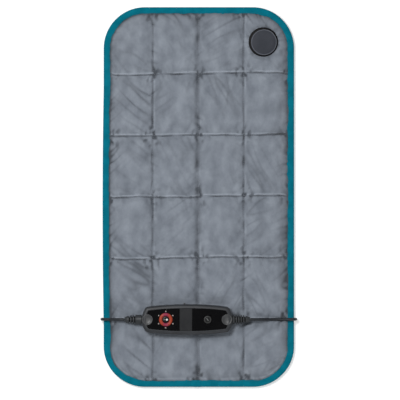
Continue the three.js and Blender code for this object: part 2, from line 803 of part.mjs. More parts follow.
function reliefPocket() {
  const half = leadReliefDiameter / 2 + gap;
  const [far, near] = reliefChannel;
  const [nx, ny] = [-Math.sin(reliefTurn) * half, Math.cos(reliefTurn) * half];
  const corners = [[far[0] - nx, far[1] - ny], [near[0] - nx, near[1] - ny],
    [near[0] + nx, near[1] + ny], [far[0] + nx, far[1] + ny]];
  return plate(polygon(corners), -overrun, reliefMiddle + half);
}

const bottomQuilt = cut(
  quilt((x, y, onRim) => quiltJoint(onRim) - gap / 2, undersideSurface, seamShoulder, false),
  channel(padLeadFlat, lowCord),
  channel(padLeadRising, reliefMiddle + cordRadius + gap, 4 * gap),
  channel(mainsLeadBelow, lowCord + coilLow - cordRadius),
  channel(plugLeadRoute, coilTop + gap),
  drum(coilX, coilY, coilOuter + cordDiameter, -overrun, coilTop + gap, 24),
  block(coilX, tieY, tieWidth + 2 * gap, 2 * (tieHalf + gap), -overrun, tieTop + gap),
  block((plugStart[0] + plugTo + bladeLength) / 2, plugStart[1],
    plugTo + bladeLength - plugStart[0] + 4 * gap, plugWidth + 2 * gap, -overrun, plugHeight + gap),
  drum(housingX, housingY, rearRadius + gap, -overrun, crownHeight, 24),
  reliefPocket(),
);
place(pad, 'bottom_quilt', bottomQuilt, backing);

// Edge binding: one folded tape, swept round the rim as a closed C section
function bindingRing() {
  const slot = rimThickness / 2 + gap;
  const full = slot + bindingWall;
  const upper = [[0, full / 3], [bindingWidth / 10, (2 * full) / 3 + gap], [bindingWidth / 3, full],
    [bindingWidth, full - gap], [bindingWidth, slot], [rimInset - gap, slot]];
  const section = [...upper, ...[...upper].reverse().map(([depth, height]) => [depth, -height])];
  const loops = section.map(([depth, height]) => padOutline(depth, bindingCornerSteps)
    .map(([x, y]) => [x, y, rimMiddle + height]));
  const around = loops[0].length;
  const index = [];
  loops.forEach((loop, s) => {
    const next = (s + 1) % loops.length;
    for (let n = 0; n < around; n += 1) {
      const m = (n + 1) % around;
      const [a, b, c, d] = [s * around + n, s * around + m, next * around + m, next * around + n];
      index.push(a, b, c, a, c, d);
    }
  });
  const geometry = new THREE.BufferGeometry();
  geometry.setAttribute('position', new THREE.Float32BufferAttribute(loops.flat(2), 3));
  geometry.setIndex(index);
  return solid(geometry);
}

place(pad, 'edge_binding', bindingRing(), tealTape);

// Round housing: a flanged barrel from above, a drum from below, a cap, a terminal block, screws
const screwPlaces = Array.from({ length: housingScrewCount }, (unused, k) => {
  const turn = reliefTurn + (2 * Math.PI * (k + 1 / 2)) / housingScrewCount;
  return [
    housingX + (housingScrewCircle / 2) * Math.cos(turn),
    housingY + (housingScrewCircle / 2) * Math.sin(turn),
  ];
});
const shankHole = screwShank / 2 + gap;
const rearInside = rearFoot + rearWall;
const barrelLow = rearInside + gap;
const baseTop = baseLow + gap + baseThickness;
const base = cut(
  turned(housingX, housingY, [
    [barrelBore / 2, barrelLow], [barrelRadius, barrelLow], [barrelRadius, baseLow + gap],
    [baseDiameter / 2, baseLow + gap], [baseDiameter / 2, baseTop - gap], [baseDiameter / 2 - gap, baseTop],
    [barrelBore / 2, baseTop], [barrelBore / 2, barrelLow],
  ]),
  ...screwPlaces.map(([x, y]) => drum(x, y, shankHole, 0, barrelLow + housingScrewReach + gap, 12)),
);
place(pad, 'connector_base', base, blackPlastic);

const capLow = baseTop + gap;
const capTop = capLow + capHeight;
const spigotRadius = barrelBore / 2 - gap - Math.hypot(capShiftX, capShiftY);
const cap = turned(housingX + capShiftX, housingY + capShiftY, [
  [0, capLow - capSpigotDepth], [spigotRadius, capLow - capSpigotDepth], [spigotRadius, capLow],
  [capDiameter / 2, capLow], [capDiameter / 2, capTop - capBevel],
  [capDiameter / 2 - capBevel, capTop], [0, capTop],
], 40);
place(pad, 'connector_cap', cap, charcoal);

const neckRadius = cordRadius + gap;
const rear = cut(
  turned(housingX, housingY, [
    [0, rearFoot], [rearRadius, rearFoot], [rearRadius, rearTop],
    [barrelRadius + gap, rearTop], [barrelRadius + gap, rearTop - rearWall],
    [rearRadius - rearWall, rearTop - rearWall], [rearRadius - rearWall, rearInside], [0, rearInside],
  ]),
  turnedAlong([housingX, housingY, reliefMiddle], leadReliefAngle, [
    [0, barrelRadius + gap], [neckRadius + gap, barrelRadius + gap],
    [neckRadius + gap, rearRadius + overrun], [0, rearRadius + overrun],
  ]),
  ...screwPlaces.map(([x, y]) => drum(x, y, shankHole, 0, rearInside + gap, 12)),
);
place(pad, 'connector_rear_housing', rear, blackPlastic);

const leadRelief = turnedAlong([housingX, housingY, reliefMiddle], leadReliefAngle, [
  [0, rearRadius - rearWall - overrun], [neckRadius + overrun / 2, rearRadius - rearWall - overrun],
  [neckRadius + overrun / 2, rearRadius - rearWall - 3 * gap], [neckRadius, rearRadius - rearWall - 3 * gap],
  [neckRadius, rearRadius + gap], [leadReliefDiameter / 2, rearRadius + gap],
  [leadReliefTipDiameter / 2, reliefReach], [0, reliefReach],
]);
place(pad, 'pad_lead_relief', leadRelief, blackPlastic);

const terminal = block(housingX, housingY, terminalSize, terminalSize, rearInside + gap,
  rearInside + gap + terminalHeight);
place(pad, 'terminal_block', terminal, whitePlastic);

// A screw with its head down, from the underside of its head to its tip
function screw(x, y, seat, tip) {
  return turned(x, y, [
    [0, seat - screwHeadHeight], [screwHead / 2 - gap, seat - screwHeadHeight],
    [screwHead / 2, seat - gap], [screwHead / 2, seat], [screwShank / 2, seat],
    [screwShank / 2, tip], [0, tip],
  ], 12);
}

screwPlaces.forEach(([x, y], k) => {
  const body = turned(x, y, [
    [0, rearFoot - gap], [screwShank / 2, rearFoot - gap],
    [screwShank / 2, barrelLow + housingScrewReach], [0, barrelLow + housingScrewReach],
  ], 12);
  place(pad, `connector_screw_${k + 1}`, body, steel);
});

// Controller shells: one rounded body, split level, with walls, deck and screw posts
const outline = bodyOutline();
const deckTop = bodyHeight - panelThickness - gap;
const deckLow = deckTop - deckThickness;
const reliefAxis = splitHeight + gap / 2;
const postPlaces = [[-1, -1], [1, -1], [1, 1], [-1, 1]].map(([u, v]) => [u * postX, v * postY]);

function roundedBody() {
  const geometry = new THREE.ExtrudeGeometry(polygon(inset(outline, bodyEdgeWidth)), {
    depth: bodyHeight - 2 * bodyEdgeHeight,
    bevelThickness: bodyEdgeHeight,
    bevelSize: bodyEdgeWidth,
    bevelSegments: 3,
  });
  return solid(moved(geometry, 0, 0, bodyEdgeHeight));
}

// Half of the body above or below a height
function half(body, low, high) {
  return body.intersect(block(0, 0, 2 * bodyLength, 2 * bodyWidth, low, high));
}

const cavityOutline = polygon(inset(outline, shellWall));
const lowCavityOutline = polygon(inset(outline, shellWall + bodyEdgeWidth / 2));
const reliefHole = (angle) => turnedAlong([0, 0, reliefAxis], angle, [
  [0, halfBody[0] - 2 * shellWall], [reliefNeckDiameter / 2 + gap, halfBody[0] - 2 * shellWall],
  [reliefNeckDiameter / 2 + gap, halfBody[0] + overrun], [0, halfBody[0] + overrun],
]);
const posts = (low, high) => postPlaces.map(([x, y]) => drum(x, y, postRadius, low, high, 16));
const postHoles = (radius, low, high) => postPlaces.map(([x, y]) => drum(x, y, radius, low, high, 12));
const headRoom = screwHeadHeight + gap;

const lowerShell = cut(
  join(
    cut(
      half(roundedBody(), 0, splitHeight),
      plate(lowCavityOutline, shellWall, bodyEdgeHeight + gap),
      plate(cavityOutline, bodyEdgeHeight, splitHeight + overrun),
    ),
    ...posts(shellWall / 2, splitHeight),
    ...[-1, 0, 1].map((k) => drum(k * (boardLength / 3), 0, postRadius / 2, shellWall / 2,
      boardHeight - gap, 12)),
  ),
  ...postHoles(shankHole, -overrun, bodyHeight),
  ...postHoles(screwHead / 2 + gap, -overrun, headRoom),
  reliefHole(0),
  reliefHole(180),
);
place(controller, 'controller_lower_shell', lowerShell, charcoal);

const upperLow = splitHeight + gap;
const endBoss = (grow) => [-1, 1].map((sign) => drum(sign * bossCentre, 0, endBossRadius + grow,
  deckTop - overrun, bodyHeight + 2 * overrun));
const panelRecess = cut(
  plate(polygon(inset(outline, panelInset)), deckTop, bodyHeight + overrun),
  ...endBoss(0),
);
const lightPlaces = Array.from({ length: lightCount }, (unused, k) => {
  const turn = Math.PI / 2 + (2 * Math.PI * k) / lightCount;
  return [
    levelKeyX + (lightCircle / 2) * Math.cos(turn),
    (lightCircle / 2) * Math.sin(turn),
  ];
});
const lightHoles = (low, high) => lightPlaces.map(([x, y]) => drum(x, y, lightDiameter / 2 + gap,
  low, high, 8));
const keyHole = (x, diameter) => drum(x, 0, diameter / 2 + gap, 0, bodyHeight + overrun, 20);

// Slider slot in the wall on the far long side
const sliderMiddle = (splitHeight + deckLow) / 2 + gap;
const slotLength = sliderLength + sliderTravel + 2 * gap;
const slotCentre = sliderX + sliderTravel / 2;
const wallInside = halfBody[1] - shellWall;
const sliderSlot = block(slotCentre, halfBody[1], slotLength, 4 * shellWall,
  sliderMiddle - sliderHeight / 2 - gap, sliderMiddle + sliderHeight / 2 + gap);

const upperShell = cut(
  join(
    cut(
      half(roundedBody(), upperLow, bodyHeight + overrun),
      plate(cavityOutline, 0, deckLow),
      panelRecess,
    ),
    ...posts(upperLow, deckLow + gap),
  ),
  ...postHoles(shankHole, 0, deckLow - gap),
  reliefHole(0),
  reliefHole(180),
  keyHole(levelKeyX, levelKeyDiameter),
  keyHole(powerKeyX, powerKeyDiameter),
  ...lightHoles(0, bodyHeight),
  sliderSlot,
);
place(controller, 'controller_upper_shell', upperShell, charcoal);

postPlaces.forEach(([x, y], k) => {
  place(controller, `shell_screw_${k + 1}`, screw(x, y, headRoom - gap, deckLow - 2 * gap), steel);
});

// Panels and the band between them, let into the upper shell's face
const panelLow = deckTop + gap;
const panelOutline = polygon(inset(outline, panelInset + gap));

function facePiece(from, to, high) {
  return plate(panelOutline, panelLow, high)
    .intersect(block((from + to) / 2, 0, to - from, bodyWidth, 0, 2 * bodyHeight));
}

const leftPanel = cut(
  facePiece(-halfBody[0], bandFrom - gap, bodyHeight),
  ...endBoss(gap),
  drum(levelKeyX, 0, ringDiameter / 2 + gap, 0, bodyHeight + overrun),
  ...lightHoles(0, bodyHeight + overrun),
);
place(controller, 'left_panel', leftPanel, glossBlack);
const rightPanel = cut(
  facePiece(bandTo + gap, halfBody[0], bodyHeight),
  ...endBoss(gap),
  keyHole(powerKeyX, powerKeyDiameter),
);
place(controller, 'right_panel', rightPanel, glossBlack);
place(controller, 'centre_band', facePiece(bandFrom, bandTo, bodyHeight + bandProud), matteBand);

// Light ring round the level key
const ringInner = levelKeyDiameter / 2 + gap;
const ringOuter = ringDiameter / 2;
const ringTop = bodyHeight + ringProud;
const ring = turned(levelKeyX, 0, [
  [ringInner, panelLow], [ringOuter, panelLow], [ringOuter, ringTop - ringBevel],
  [ringOuter - ringBevel, ringTop], [ringInner + ringBevel, ringTop], [ringInner, ringTop - ringBevel],
  [ringInner, panelLow],
], 28);
place(controller, 'light_ring', ring, redRing);

// Keys: a round cap with a flange under the deck and a stem down to the switch
const boardTop = boardHeight + boardThickness;
const switchTop = boardTop + gap + switchHeight;
const plungerTop = switchTop + keyTravel + 2 * gap;

function key(x, diameter) {
  const radius = diameter / 2;
  const rim = bodyHeight + keyProud;
  return turned(x, 0, [
    [0, plungerTop + gap], [keyStemDiameter / 2, plungerTop + gap],
    [keyStemDiameter / 2, deckLow - gap - keyFlangeThickness],
    [radius + keyFlange, deckLow - gap - keyFlangeThickness], [radius + keyFlange, deckLow - gap],
    [radius, deckLow - gap], [radius, rim - gap], [radius - 2 * gap, rim], [radius / 2, rim + gap],
    [0, rim + gap],
  ], 20);
}

place(controller, 'level_key', key(levelKeyX, levelKeyDiameter), glossBlack);
place(controller, 'power_key', key(powerKeyX, powerKeyDiameter), glossBlack);

// Push switches on the board: a base with a bore, and a plunger that goes down with its key
for (const [name, x] of [['level', levelKeyX], ['power', powerKeyX]]) {
  const boreLow = switchTop - switchHeight + 2 * gap;
  const baseBody = cut(
    block(x, 0, switchSize, switchSize, boardTop + gap, switchTop),
    drum(x, 0, plungerDiameter / 2 + gap, boreLow, switchTop + overrun, 12),
  );
  place(controller, `${name}_switch_base`, baseBody, blackPlastic);
  const plunger = drum(x, 0, plungerDiameter / 2, boreLow + keyTravel + gap, plungerTop, 12);
  place(controller, `${name}_switch_plunger`, plunger, whitePlastic);
}

// Light guide: a ring plate under the deck, with a post up to the face and a leg down to each lamp
const guideHigh = deckLow - gap;
const guideLow = guideHigh - guidePlateThickness;
const ledTop = boardTop + gap + ledHeight;
const guide = join(
  turned(levelKeyX, 0, [
    [(lightCircle - guidePlateWidth) / 2, guideLow], [(lightCircle + guidePlateWidth) / 2, guideLow],
    [(lightCircle + guidePlateWidth) / 2, guideHigh], [(lightCircle - guidePlateWidth) / 2, guideHigh],
    [(lightCircle - guidePlateWidth) / 2, guideLow],
  ], 16),
  ...lightPlaces.map(([x, y]) => drum(x, y, lightDiameter / 2, ledTop + gap, bodyHeight + gap / 3, 8)),
);
place(controller, 'level_light_guide', guide, whiteGuide);
lightPlaces.forEach(([x, y], k) => {
  const lamp = block(x, y, ledLength, ledLength, boardTop + gap, ledTop);
  place(controller, `level_lamp_${k + 1}`, lamp, whitePlastic);
});

// Side slider: a block in the slot, a ridge to push, and a tongue into the slide switch
const switchFrom = boardWidth / 2 - slideSwitchWidth;
const tongueIn = boardWidth / 2 - slideSwitchWidth / 2;
const sliderOuter = halfBody[1] - gap;
const slider = join(
  block(sliderX, (wallInside + sliderOuter) / 2, sliderLength, sliderOuter - wallInside,
    sliderMiddle - sliderHeight / 2, sliderMiddle + sliderHeight / 2),
  block(sliderX, sliderOuter + sliderProud / 2 - gap / 2, sliderRidgeWidth, sliderProud + gap,
    sliderMiddle - sliderHeight / 2, sliderMiddle + sliderHeight / 2),
  block(sliderX, (tongueIn + wallInside) / 2 + gap / 2, sliderTongueWidth, wallInside - tongueIn + gap,
    sliderMiddle - sliderTongueHeight / 2, sliderMiddle + sliderTongueHeight / 2),
);
place(controller, 'power_slider', slider, blackPlastic);
const slideSwitch = cut(
  block(slotCentre, switchFrom + slideSwitchWidth / 2, slideSwitchLength, slideSwitchWidth,
    boardTop + gap, boardTop + gap + slideSwitchHeight),
  block(slotCentre, tongueIn + slideSwitchWidth / 2, sliderTongueWidth + sliderTravel + 2 * gap,
    slideSwitchWidth + 2 * gap, sliderMiddle - sliderTongueHeight / 2 - gap,
    sliderMiddle + sliderTongueHeight / 2 + gap),
);
place(controller, 'slide_switch', slideSwitch, steel);

// Circuit board with the parts that switch and guard the heating current
const board = block(0, 0, boardLength, boardWidth, boardHeight, boardTop);
place(controller, 'circuit_board', board, boardGreen);
const onBoard = (name, x, y, [lengthX, lengthY, high], material) => {
  const body = block(x, y, lengthX, lengthY, boardTop + gap, boardTop + gap + high);
  place(controller, name, body, material);
};
const rowY = boardWidth / 3;
onBoard('film_capacitor', bandTo + switchSize, -rowY, capacitorSize, amberFilm);
onBoard('triac', bandTo - 1.5 * triacSize[0], -rowY, triacSize, blackPlastic);
onBoard('control_chip', bandCentre, 0, chipSize, blackPlastic);
const fuseProfile = [[0, 0], [fuseDiameter / 2, 0], [fuseDiameter / 2, fuseLength], [0, fuseLength]];
const fuseFrom = [powerKeyX - fuseLength / 2, rowY, boardTop + gap + fuseDiameter / 2];
place(controller, 'fuse_tube', turnedAlong(fuseFrom, 0, fuseProfile, 14), brass);

// Strain reliefs: a flange inside the shells, a neck in the wall and a tapered boot with grooves
function relief(angle) {
  const wall = halfBody[0];
  const boot = reliefDiameter / 2;
  const tip = reliefTipDiameter / 2;
  const [ribsFrom, ribsTo] = reliefRibShares.map((share) => share * reliefLength);
  const ribPitch = (ribsTo - ribsFrom) / reliefRibs;
  const radiusAt = (distance) => boot + (tip - boot) * (distance / reliefLength) ** 2;
  const pairs = [
    [0, wall - shellWall - gap - reliefFlangeThickness],
    [reliefFlangeDiameter / 2, wall - shellWall - gap - reliefFlangeThickness],
    [reliefFlangeDiameter / 2, wall - shellWall - gap],
    [reliefNeckDiameter / 2, wall - shellWall - gap],
    [reliefNeckDiameter / 2, wall + gap],
    [boot, wall + gap],
  ];
  for (let k = 0; k < reliefRibs; k += 1) {
    const from = ribsFrom + k * ribPitch;
    const to = from + ribPitch / 2;
    pairs.push([radiusAt(from), wall + from], [radiusAt(from) - reliefGrooveDepth, wall + from]);
    pairs.push([radiusAt(to) - reliefGrooveDepth, wall + to], [radiusAt(to), wall + to]);
  }
  pairs.push([tip, wall + reliefLength], [0, wall + reliefLength]);
  return turnedAlong([0, 0, reliefAxis], angle, pairs, 14);
}

place(controller, 'right_strain_relief', relief(0), blackPlastic);
place(controller, 'left_strain_relief', relief(180), blackPlastic);

export default model;
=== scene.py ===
import math

import bmesh
import bpy
from mathutils import Matrix, Vector, noise
from mathutils.bvhtree import BVHTree


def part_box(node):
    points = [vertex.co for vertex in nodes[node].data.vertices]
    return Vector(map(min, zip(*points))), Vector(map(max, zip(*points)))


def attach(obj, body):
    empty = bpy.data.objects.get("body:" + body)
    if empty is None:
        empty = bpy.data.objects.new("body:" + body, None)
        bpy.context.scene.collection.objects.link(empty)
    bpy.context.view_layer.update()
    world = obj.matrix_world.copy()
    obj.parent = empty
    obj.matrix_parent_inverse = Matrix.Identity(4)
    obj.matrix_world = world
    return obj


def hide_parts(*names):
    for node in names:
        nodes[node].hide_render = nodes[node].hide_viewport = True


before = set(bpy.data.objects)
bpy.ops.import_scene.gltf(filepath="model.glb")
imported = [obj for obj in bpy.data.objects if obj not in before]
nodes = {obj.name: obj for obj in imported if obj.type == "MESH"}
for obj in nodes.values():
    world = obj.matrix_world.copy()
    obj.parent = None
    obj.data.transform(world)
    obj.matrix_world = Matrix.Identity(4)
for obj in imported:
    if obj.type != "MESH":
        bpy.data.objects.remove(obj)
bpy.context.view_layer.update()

scene = bpy.context.scene
MM = 0.001

# Camera: the photograph looks straight down from far away, with the long side of the pad upright.
# One photograph pixel is 1.6 mm at the pad's height, and the middle of the picture is just beside
# the middle of the pad.
camera_distance = 8000 * MM
pixel = 1.6 * MM
picture_pixels = 400
sensor_width = 36
crown_height = 20 * MM
camera_data = bpy.data.cameras.new("photo_camera")
camera_data.sensor_width = sensor_width
camera_data.lens = sensor_width * camera_distance / (picture_pixels * pixel)
camera_data.clip_end = 20
camera = bpy.data.objects.new("photo_camera", camera_data)
camera.location = (1.8 * MM, -3.9 * MM, crown_height + camera_distance)
scene.collection.objects.link(camera)
scene.camera = camera
scene.view_settings.view_transform = "Standard"


# Floor and light: a plain white table and soft studio light. The large lamp stands beyond the pad's
# upper left, so that its folds show and shadows fall softly towards its lower end. A weaker one fills
# from the lower right. A black card behind the camera keeps the polished faces dark.
def new_material(name, settings):
    """A material whose shader has these inputs set, with its shader, its nodes and its links."""
    material = bpy.data.materials.new(name)
    material.use_nodes = True
    tree = material.node_tree.nodes
    shader = tree["Principled BSDF"]
    for socket, value in settings.items():
        shader.inputs[socket].default_value = value
    return material, shader, tree, material.node_tree.links


def add_node(tree, kind, values=None):
    """A shader node of one kind, with the values of its inputs."""
    made = tree.new("ShaderNode" + kind)
    for socket, value in (values or {}).items():
        made.inputs[socket].default_value = value
    return made


def studio_sheet(name, size, height, paint, grey):
    """A level square of the studio. Gives its paint's shader, nodes and links."""
    form = bmesh.new()
    bmesh.ops.create_grid(
        form, x_segments=1, y_segments=1, size=size, matrix=Matrix.Translation((0, 0, height)),
    )
    mesh = bpy.data.meshes.new(name)
    form.to_mesh(mesh)
    form.free()
    sheet = bpy.data.objects.new(name, mesh)
    scene.collection.objects.link(sheet)
    material, *paint_nodes = new_material(paint, {"Base Color": (grey, grey, grey, 1), "Roughness": 0.9})
    mesh.materials.append(material)
    return paint_nodes


floor_glow = 0.40
shader, tree, links = studio_sheet("floor", 6, 0, "white_table", 0.86)
shader.inputs["Emission Color"].default_value = (1, 1, 1, 1)
light_path = add_node(tree, "LightPath")
seen = add_node(tree, "Math")
seen.operation = "MAXIMUM"
lift = add_node(tree, "Math", {1: floor_glow})
lift.operation = "MULTIPLY"
links.new(light_path.outputs["Is Camera Ray"], seen.inputs[0])
links.new(light_path.outputs["Is Glossy Ray"], seen.inputs[1])
links.new(seen.outputs[0], lift.inputs[0])
links.new(lift.outputs[0], shader.inputs["Emission Strength"])


def soft_lamp(name, place, width, depth, watts):
    """A softbox that faces the middle of the pad."""
    data = bpy.data.lights.new(name, "AREA")
    data.shape = "RECTANGLE"
    data.size = width
    data.size_y = depth
    data.energy = watts
    lamp = bpy.data.objects.new(name, data)
    lamp.location = place
    lamp.rotation_euler = (-Vector(place)).to_track_quat("-Z", "Y").to_euler()
    scene.collection.objects.link(lamp)


soft_lamp("upper_softbox", place=(-0.55, 0.45, 2.15), width=0.7, depth=0.5, watts=30)
soft_lamp("lower_softbox", place=(0.5, -1.5, 1.2), width=1.2, depth=0.6, watts=5)
world = bpy.data.worlds.new("studio")
scene.world = world
world.use_nodes = True
daylight = world.node_tree.nodes["Background"]
daylight.inputs["Color"].default_value = (1, 1, 1, 1)
daylight.inputs["Strength"].default_value = 0.36
studio_sheet("black_card", 1.5, camera_distance + 0.2, "black_card_paper", 0.01)


# Cords: 4.6 mm round PVC cord. The pad's own lead runs from the controller round the pad's edge to
# the round housing. The mains cord tucks under the other edge, lies there as a wound and tied coil,
# and goes on to the plug.
cord_diameter = 4.6 * MM


def ramp_mix(tree, links, factor, low, high):
    """Goes from one colour to another with a factor. Either may come out of another node."""
    mix = add_node(tree, "Mix")
    mix.data_type = "RGBA"
    links.new(factor, mix.inputs["Factor"])
    for end, colour in (("A", low), ("B", high)):
        if isinstance(colour, tuple):
            mix.inputs[end].default_value = (*colour, 1)
        else:
            links.new(colour, mix.inputs[end])
    return mix.outputs["Result"]


def noise_factor(tree, links, scale, detail=3, low=0.35, high=0.65, stretch=(1, 1, 1)):
    """Cloudy values from 0 to 1 in the piece's own coordinates."""
    coordinates = add_node(tree, "TexCoord")
    mapping = add_node(tree, "Mapping", {"Scale": stretch})
    texture = add_node(tree, "TexNoise", {"Scale": scale, "Detail": detail})
    spread = add_node(tree, "MapRange", {"From Min": low, "From Max": high})
    links.new(coordinates.outputs["Object"], mapping.inputs["Vector"])
    links.new(mapping.outputs["Vector"], texture.inputs["Vector"])
    links.new(texture.outputs["Fac"], spread.inputs["Value"])
    return spread.outputs["Result"]


def add_bump(tree, links, height, distance, strength=1.0, after=None):
    """A surface normal bent by a height pattern, on top of another one if given."""
    bump = add_node(tree, "Bump", {"Distance": distance, "Strength": strength})
    links.new(height, bump.inputs["Height"])
    if after is not None:
        links.new(after, bump.inputs["Normal"])
    return bump.outputs["Normal"]


def moulded_plastic(name, low, high, roughness, grain, grain_depth, coat=0.0, specular=0.5):
    """A moulded plastic: two near colours mottled together, and a fine grain in its surface."""
    material, shader, tree, links = new_material(name, {
        "Roughness": roughness, "Specular IOR Level": specular, "Coat Weight": coat, "Coat Roughness": 0.08,
    })
    links.new(ramp_mix(tree, links, noise_factor(tree, links, 60), low, high), shader.inputs["Base Color"])
    fine = noise_factor(tree, links, grain, 2, 0.3, 0.7)
    links.new(add_bump(tree, links, fine, grain_depth), shader.inputs["Normal"])
    return material


def clamp(value):
    """Keeps a share between none and all."""
    return max(0, min(1, value))


def in_metres(points):
    return [Vector(point) * MM for point in points]


cord_jacket = moulded_plastic(
    "cord_jacket", (0.014, 0.016, 0.020), (0.020, 0.023, 0.028), 0.45, 900, 0.02 * MM, specular=0.3,
)


def cord_curve(name, points, replaced):
    """A smooth round cord through points, in place of CAD nodes."""
    data = bpy.data.curves.new(name, "CURVE")
    data.dimensions = "3D"
    data.resolution_u = 6
    data.bevel_depth = cord_diameter / 2
    data.bevel_resolution = 4
    data.use_fill_caps = True
    spline = data.splines.new("BEZIER")
    spline.bezier_points.add(len(points) - 1)
    for knot, point in zip(spline.bezier_points, points):
        knot.co = point
        knot.handle_left_type = "AUTO"
        knot.handle_right_type = "AUTO"
    data.materials.append(cord_jacket)
    cord = bpy.data.objects.new(name, data)
    scene.collection.objects.link(cord)
    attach(cord, "root")
    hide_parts(*replaced)
    return cord


lead_line = -194.8
pad_lead_route = in_metres([
    (x, lead_line, z) for x, z in (
        (81.9, 28.95), (87, 28.8), (95, 27), (104, 23.6), (113, 20.8), (122, 19.5), (131, 19.3),
        (139, 20.1), (144, 20.6), (148.4, 20.8), (151.9, 19.6), (154.5, 16.2), (155.4, 11.6),
        (154.6, 7), (151.9, 3.8), (148.4, 2.6), (138, 2.4), (118, 2.4), (100, 2.4),
    )
] + [(86, -191.2, 2.4), (75.8, -181, 2.4)] + [
    (72, y, 2.4) for y in (-167, -130, -80, -30, 20, 70, 120, 150)
] + [(72, 172, 2.7), (72.6, 185, 3.5), (74.6, 195, 4.8), (78.1, 205, 5.8), (81.85, 212.4, 6)])
pad_lead = cord_curve("pad_lead_cord", pad_lead_route, ["pad_lead"])

mains_lead_route = in_metres([
    (x, lead_line, z) for x, z in (
        (-119.3, 28.95), (-124, 28.8), (-131, 27.2), (-138, 24.2), (-144, 21.7), (-148.4, 20.8),
        (-152, 19.6), (-154.7, 16.2), (-155.6, 11.6), (-154.8, 7), (-152, 3.8), (-148.4, 2.6),
        (-138, 2.4), (-118, 2.4), (-98, 2.4), (-78, 2.5), (-60, 2.8), (-50, 3.1), (-41.9, 3.2),
    )
])
plug_lead_route = in_metres([
    (-77.48, -157.95, 8.3), (-77.48, -164, 8.3), (-77.48, -172, 8.3), (-77.48, -183, 8.3),
    (-77.5, -194.8, 8.1), (-77.4, -205, 7), (-76.3, -216, 4.9), (-73, -227, 3.3),
    (-66.5, -238, 2.7), (-57, -246, 3.2), (-47, -250.4, 4.6), (-38.5, -251.9, 5.5),
    (-31.7, -252, 5.6),
])
turns_in = 5
turns_out = 4.75
turn_pitch = 5.1 * MM
coil_outer = 41.75 * MM
coil_centre = Vector((-37, -153.05)) * MM
coil_low = 3.2 * MM
steps_per_turn = 24
coil_route = []
for step in range(round((turns_in + turns_out) * steps_per_turn) + 1):
    turns = step / steps_per_turn
    radius = coil_outer - turn_pitch * (turns_in - abs(turns - turns_in))
    climb = clamp(2 * (turns - turns_in) + 0.5)
    climb = climb * climb * (3 - 2 * climb)
    angle = 2 * math.pi * turns - math.pi / 2
    coil_route.append(Vector((
        coil_centre.x + radius * math.cos(angle),
        coil_centre.y + radius * math.sin(angle),
        coil_low + turn_pitch * climb,
    )))
mains_route = mains_lead_route[:-1] + coil_route + plug_lead_route[1:]
mains_cord = cord_curve("mains_cord", mains_route, ["mains_lead", "mains_coil", "plug_lead"])


# Coil tie: a black releasable strap closed round the turns, a band bent from one strip with its
# corners rounded. It sits where the CAD tie sits.
def finish_piece(name, form, materials, body, replaced=(), smooth_angle=40):
    """Makes a finished piece of a bmesh: shaded smooth, riding on a body, in place of CAD nodes."""
    mesh = bpy.data.meshes.new(name)
    form.to_mesh(mesh)
    form.free()
    for material in materials:
        mesh.materials.append(material)
    mesh.shade_smooth()
    mesh.set_sharp_from_angle(angle=math.radians(smooth_angle))
    piece = bpy.data.objects.new(name, mesh)
    scene.collection.objects.link(piece)
    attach(piece, body)
    if replaced:
        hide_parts(*replaced)
    return piece


def box_form(low, high, bevel, segments=3):
    """A block between two corners, with its edges rounded."""
    form = bmesh.new()
    size = high - low
    place = Matrix.Translation((low + high) / 2) @ Matrix.Diagonal((*size, 1))
    bmesh.ops.create_cube(form, size=1, matrix=place)
    bmesh.ops.bevel(
        form, geom=form.edges[:], offset=bevel, segments=segments, profile=0.5, affect="EDGES",
        material=-1, clamp_overlap=True,
    )
    return form


black_plastic = moulded_plastic(
    "black_plastic", (0.010, 0.010, 0.011), (0.017, 0.017, 0.018), 0.45, 700, 0.03 * MM,
)
tie_low, tie_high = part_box("cord_tie")
tie_wall = 0.6 * MM
tie_corner = 2 * MM
tie = bmesh.new()
tie_middle = (tie_low + tie_high) / 2
tie_size = tie_high - tie_low
tie_end = Vector((tie_low.x, tie_middle.y, tie_middle.z))
bmesh.ops.create_grid(
    tie, x_segments=1, y_segments=1, size=0.5,
    matrix=Matrix.Translation(tie_end) @ Matrix.Rotation(math.radians(90), 4, "Y")
    @ Matrix.Diagonal((tie_size.z, tie_size.y, 1, 1)),
)
bmesh.ops.bevel(
    tie, geom=tie.verts[:], offset=tie_corner, segments=5, profile=0.5, affect="VERTICES", material=-1,
)
bmesh.ops.inset_region(tie, faces=tie.faces[:], thickness=tie_wall, use_boundary=True)
middle = min(tie.faces, key=lambda face: (face.calc_center_median() - tie_end).length)
bmesh.ops.delete(tie, geom=[middle], context="FACES")
strip = bmesh.ops.extrude_face_region(tie, geom=tie.faces[:])
for vertex in [v for v in strip["geom"] if isinstance(v, bmesh.types.BMVert)]:
    vertex.co.x = tie_high.x
bmesh.ops.recalc_face_normals(tie, faces=tie.faces[:])
finish_piece("coil_tie", tie, [black_plastic], "root", ["cord_tie"])


# Plug: a flat two-blade plug moulded on the cord, with a waisted grip, a grooved tail and two
# plated blades. The blades keep their CAD bodies.
def turned_form(profile, origin, axis, steps=48):
    """A turned piece: pairs of radius and distance along the axis, spun into a closed skin."""
    form = bmesh.new()
    axis = Vector(axis).normalized()
    side = Vector((0, 0, 1)) if abs(axis.z) < 0.5 else Vector((1, 0, 0))
    side = (side - axis * side.dot(axis)).normalized()
    corners = [
        form.verts.new(Vector(origin) + axis * along + side * radius) for radius, along in profile
    ]
    edges = [form.edges.new(pair) for pair in zip(corners, corners[1:])]
    bmesh.ops.spin(
        form, geom=corners + edges, cent=origin, axis=axis, angle=2 * math.pi, steps=steps,
        use_merge=True,
    )
    bmesh.ops.remove_doubles(form, verts=form.verts[:], dist=0.002 * MM)
    bmesh.ops.recalc_face_normals(form, faces=form.faces[:])
    return form


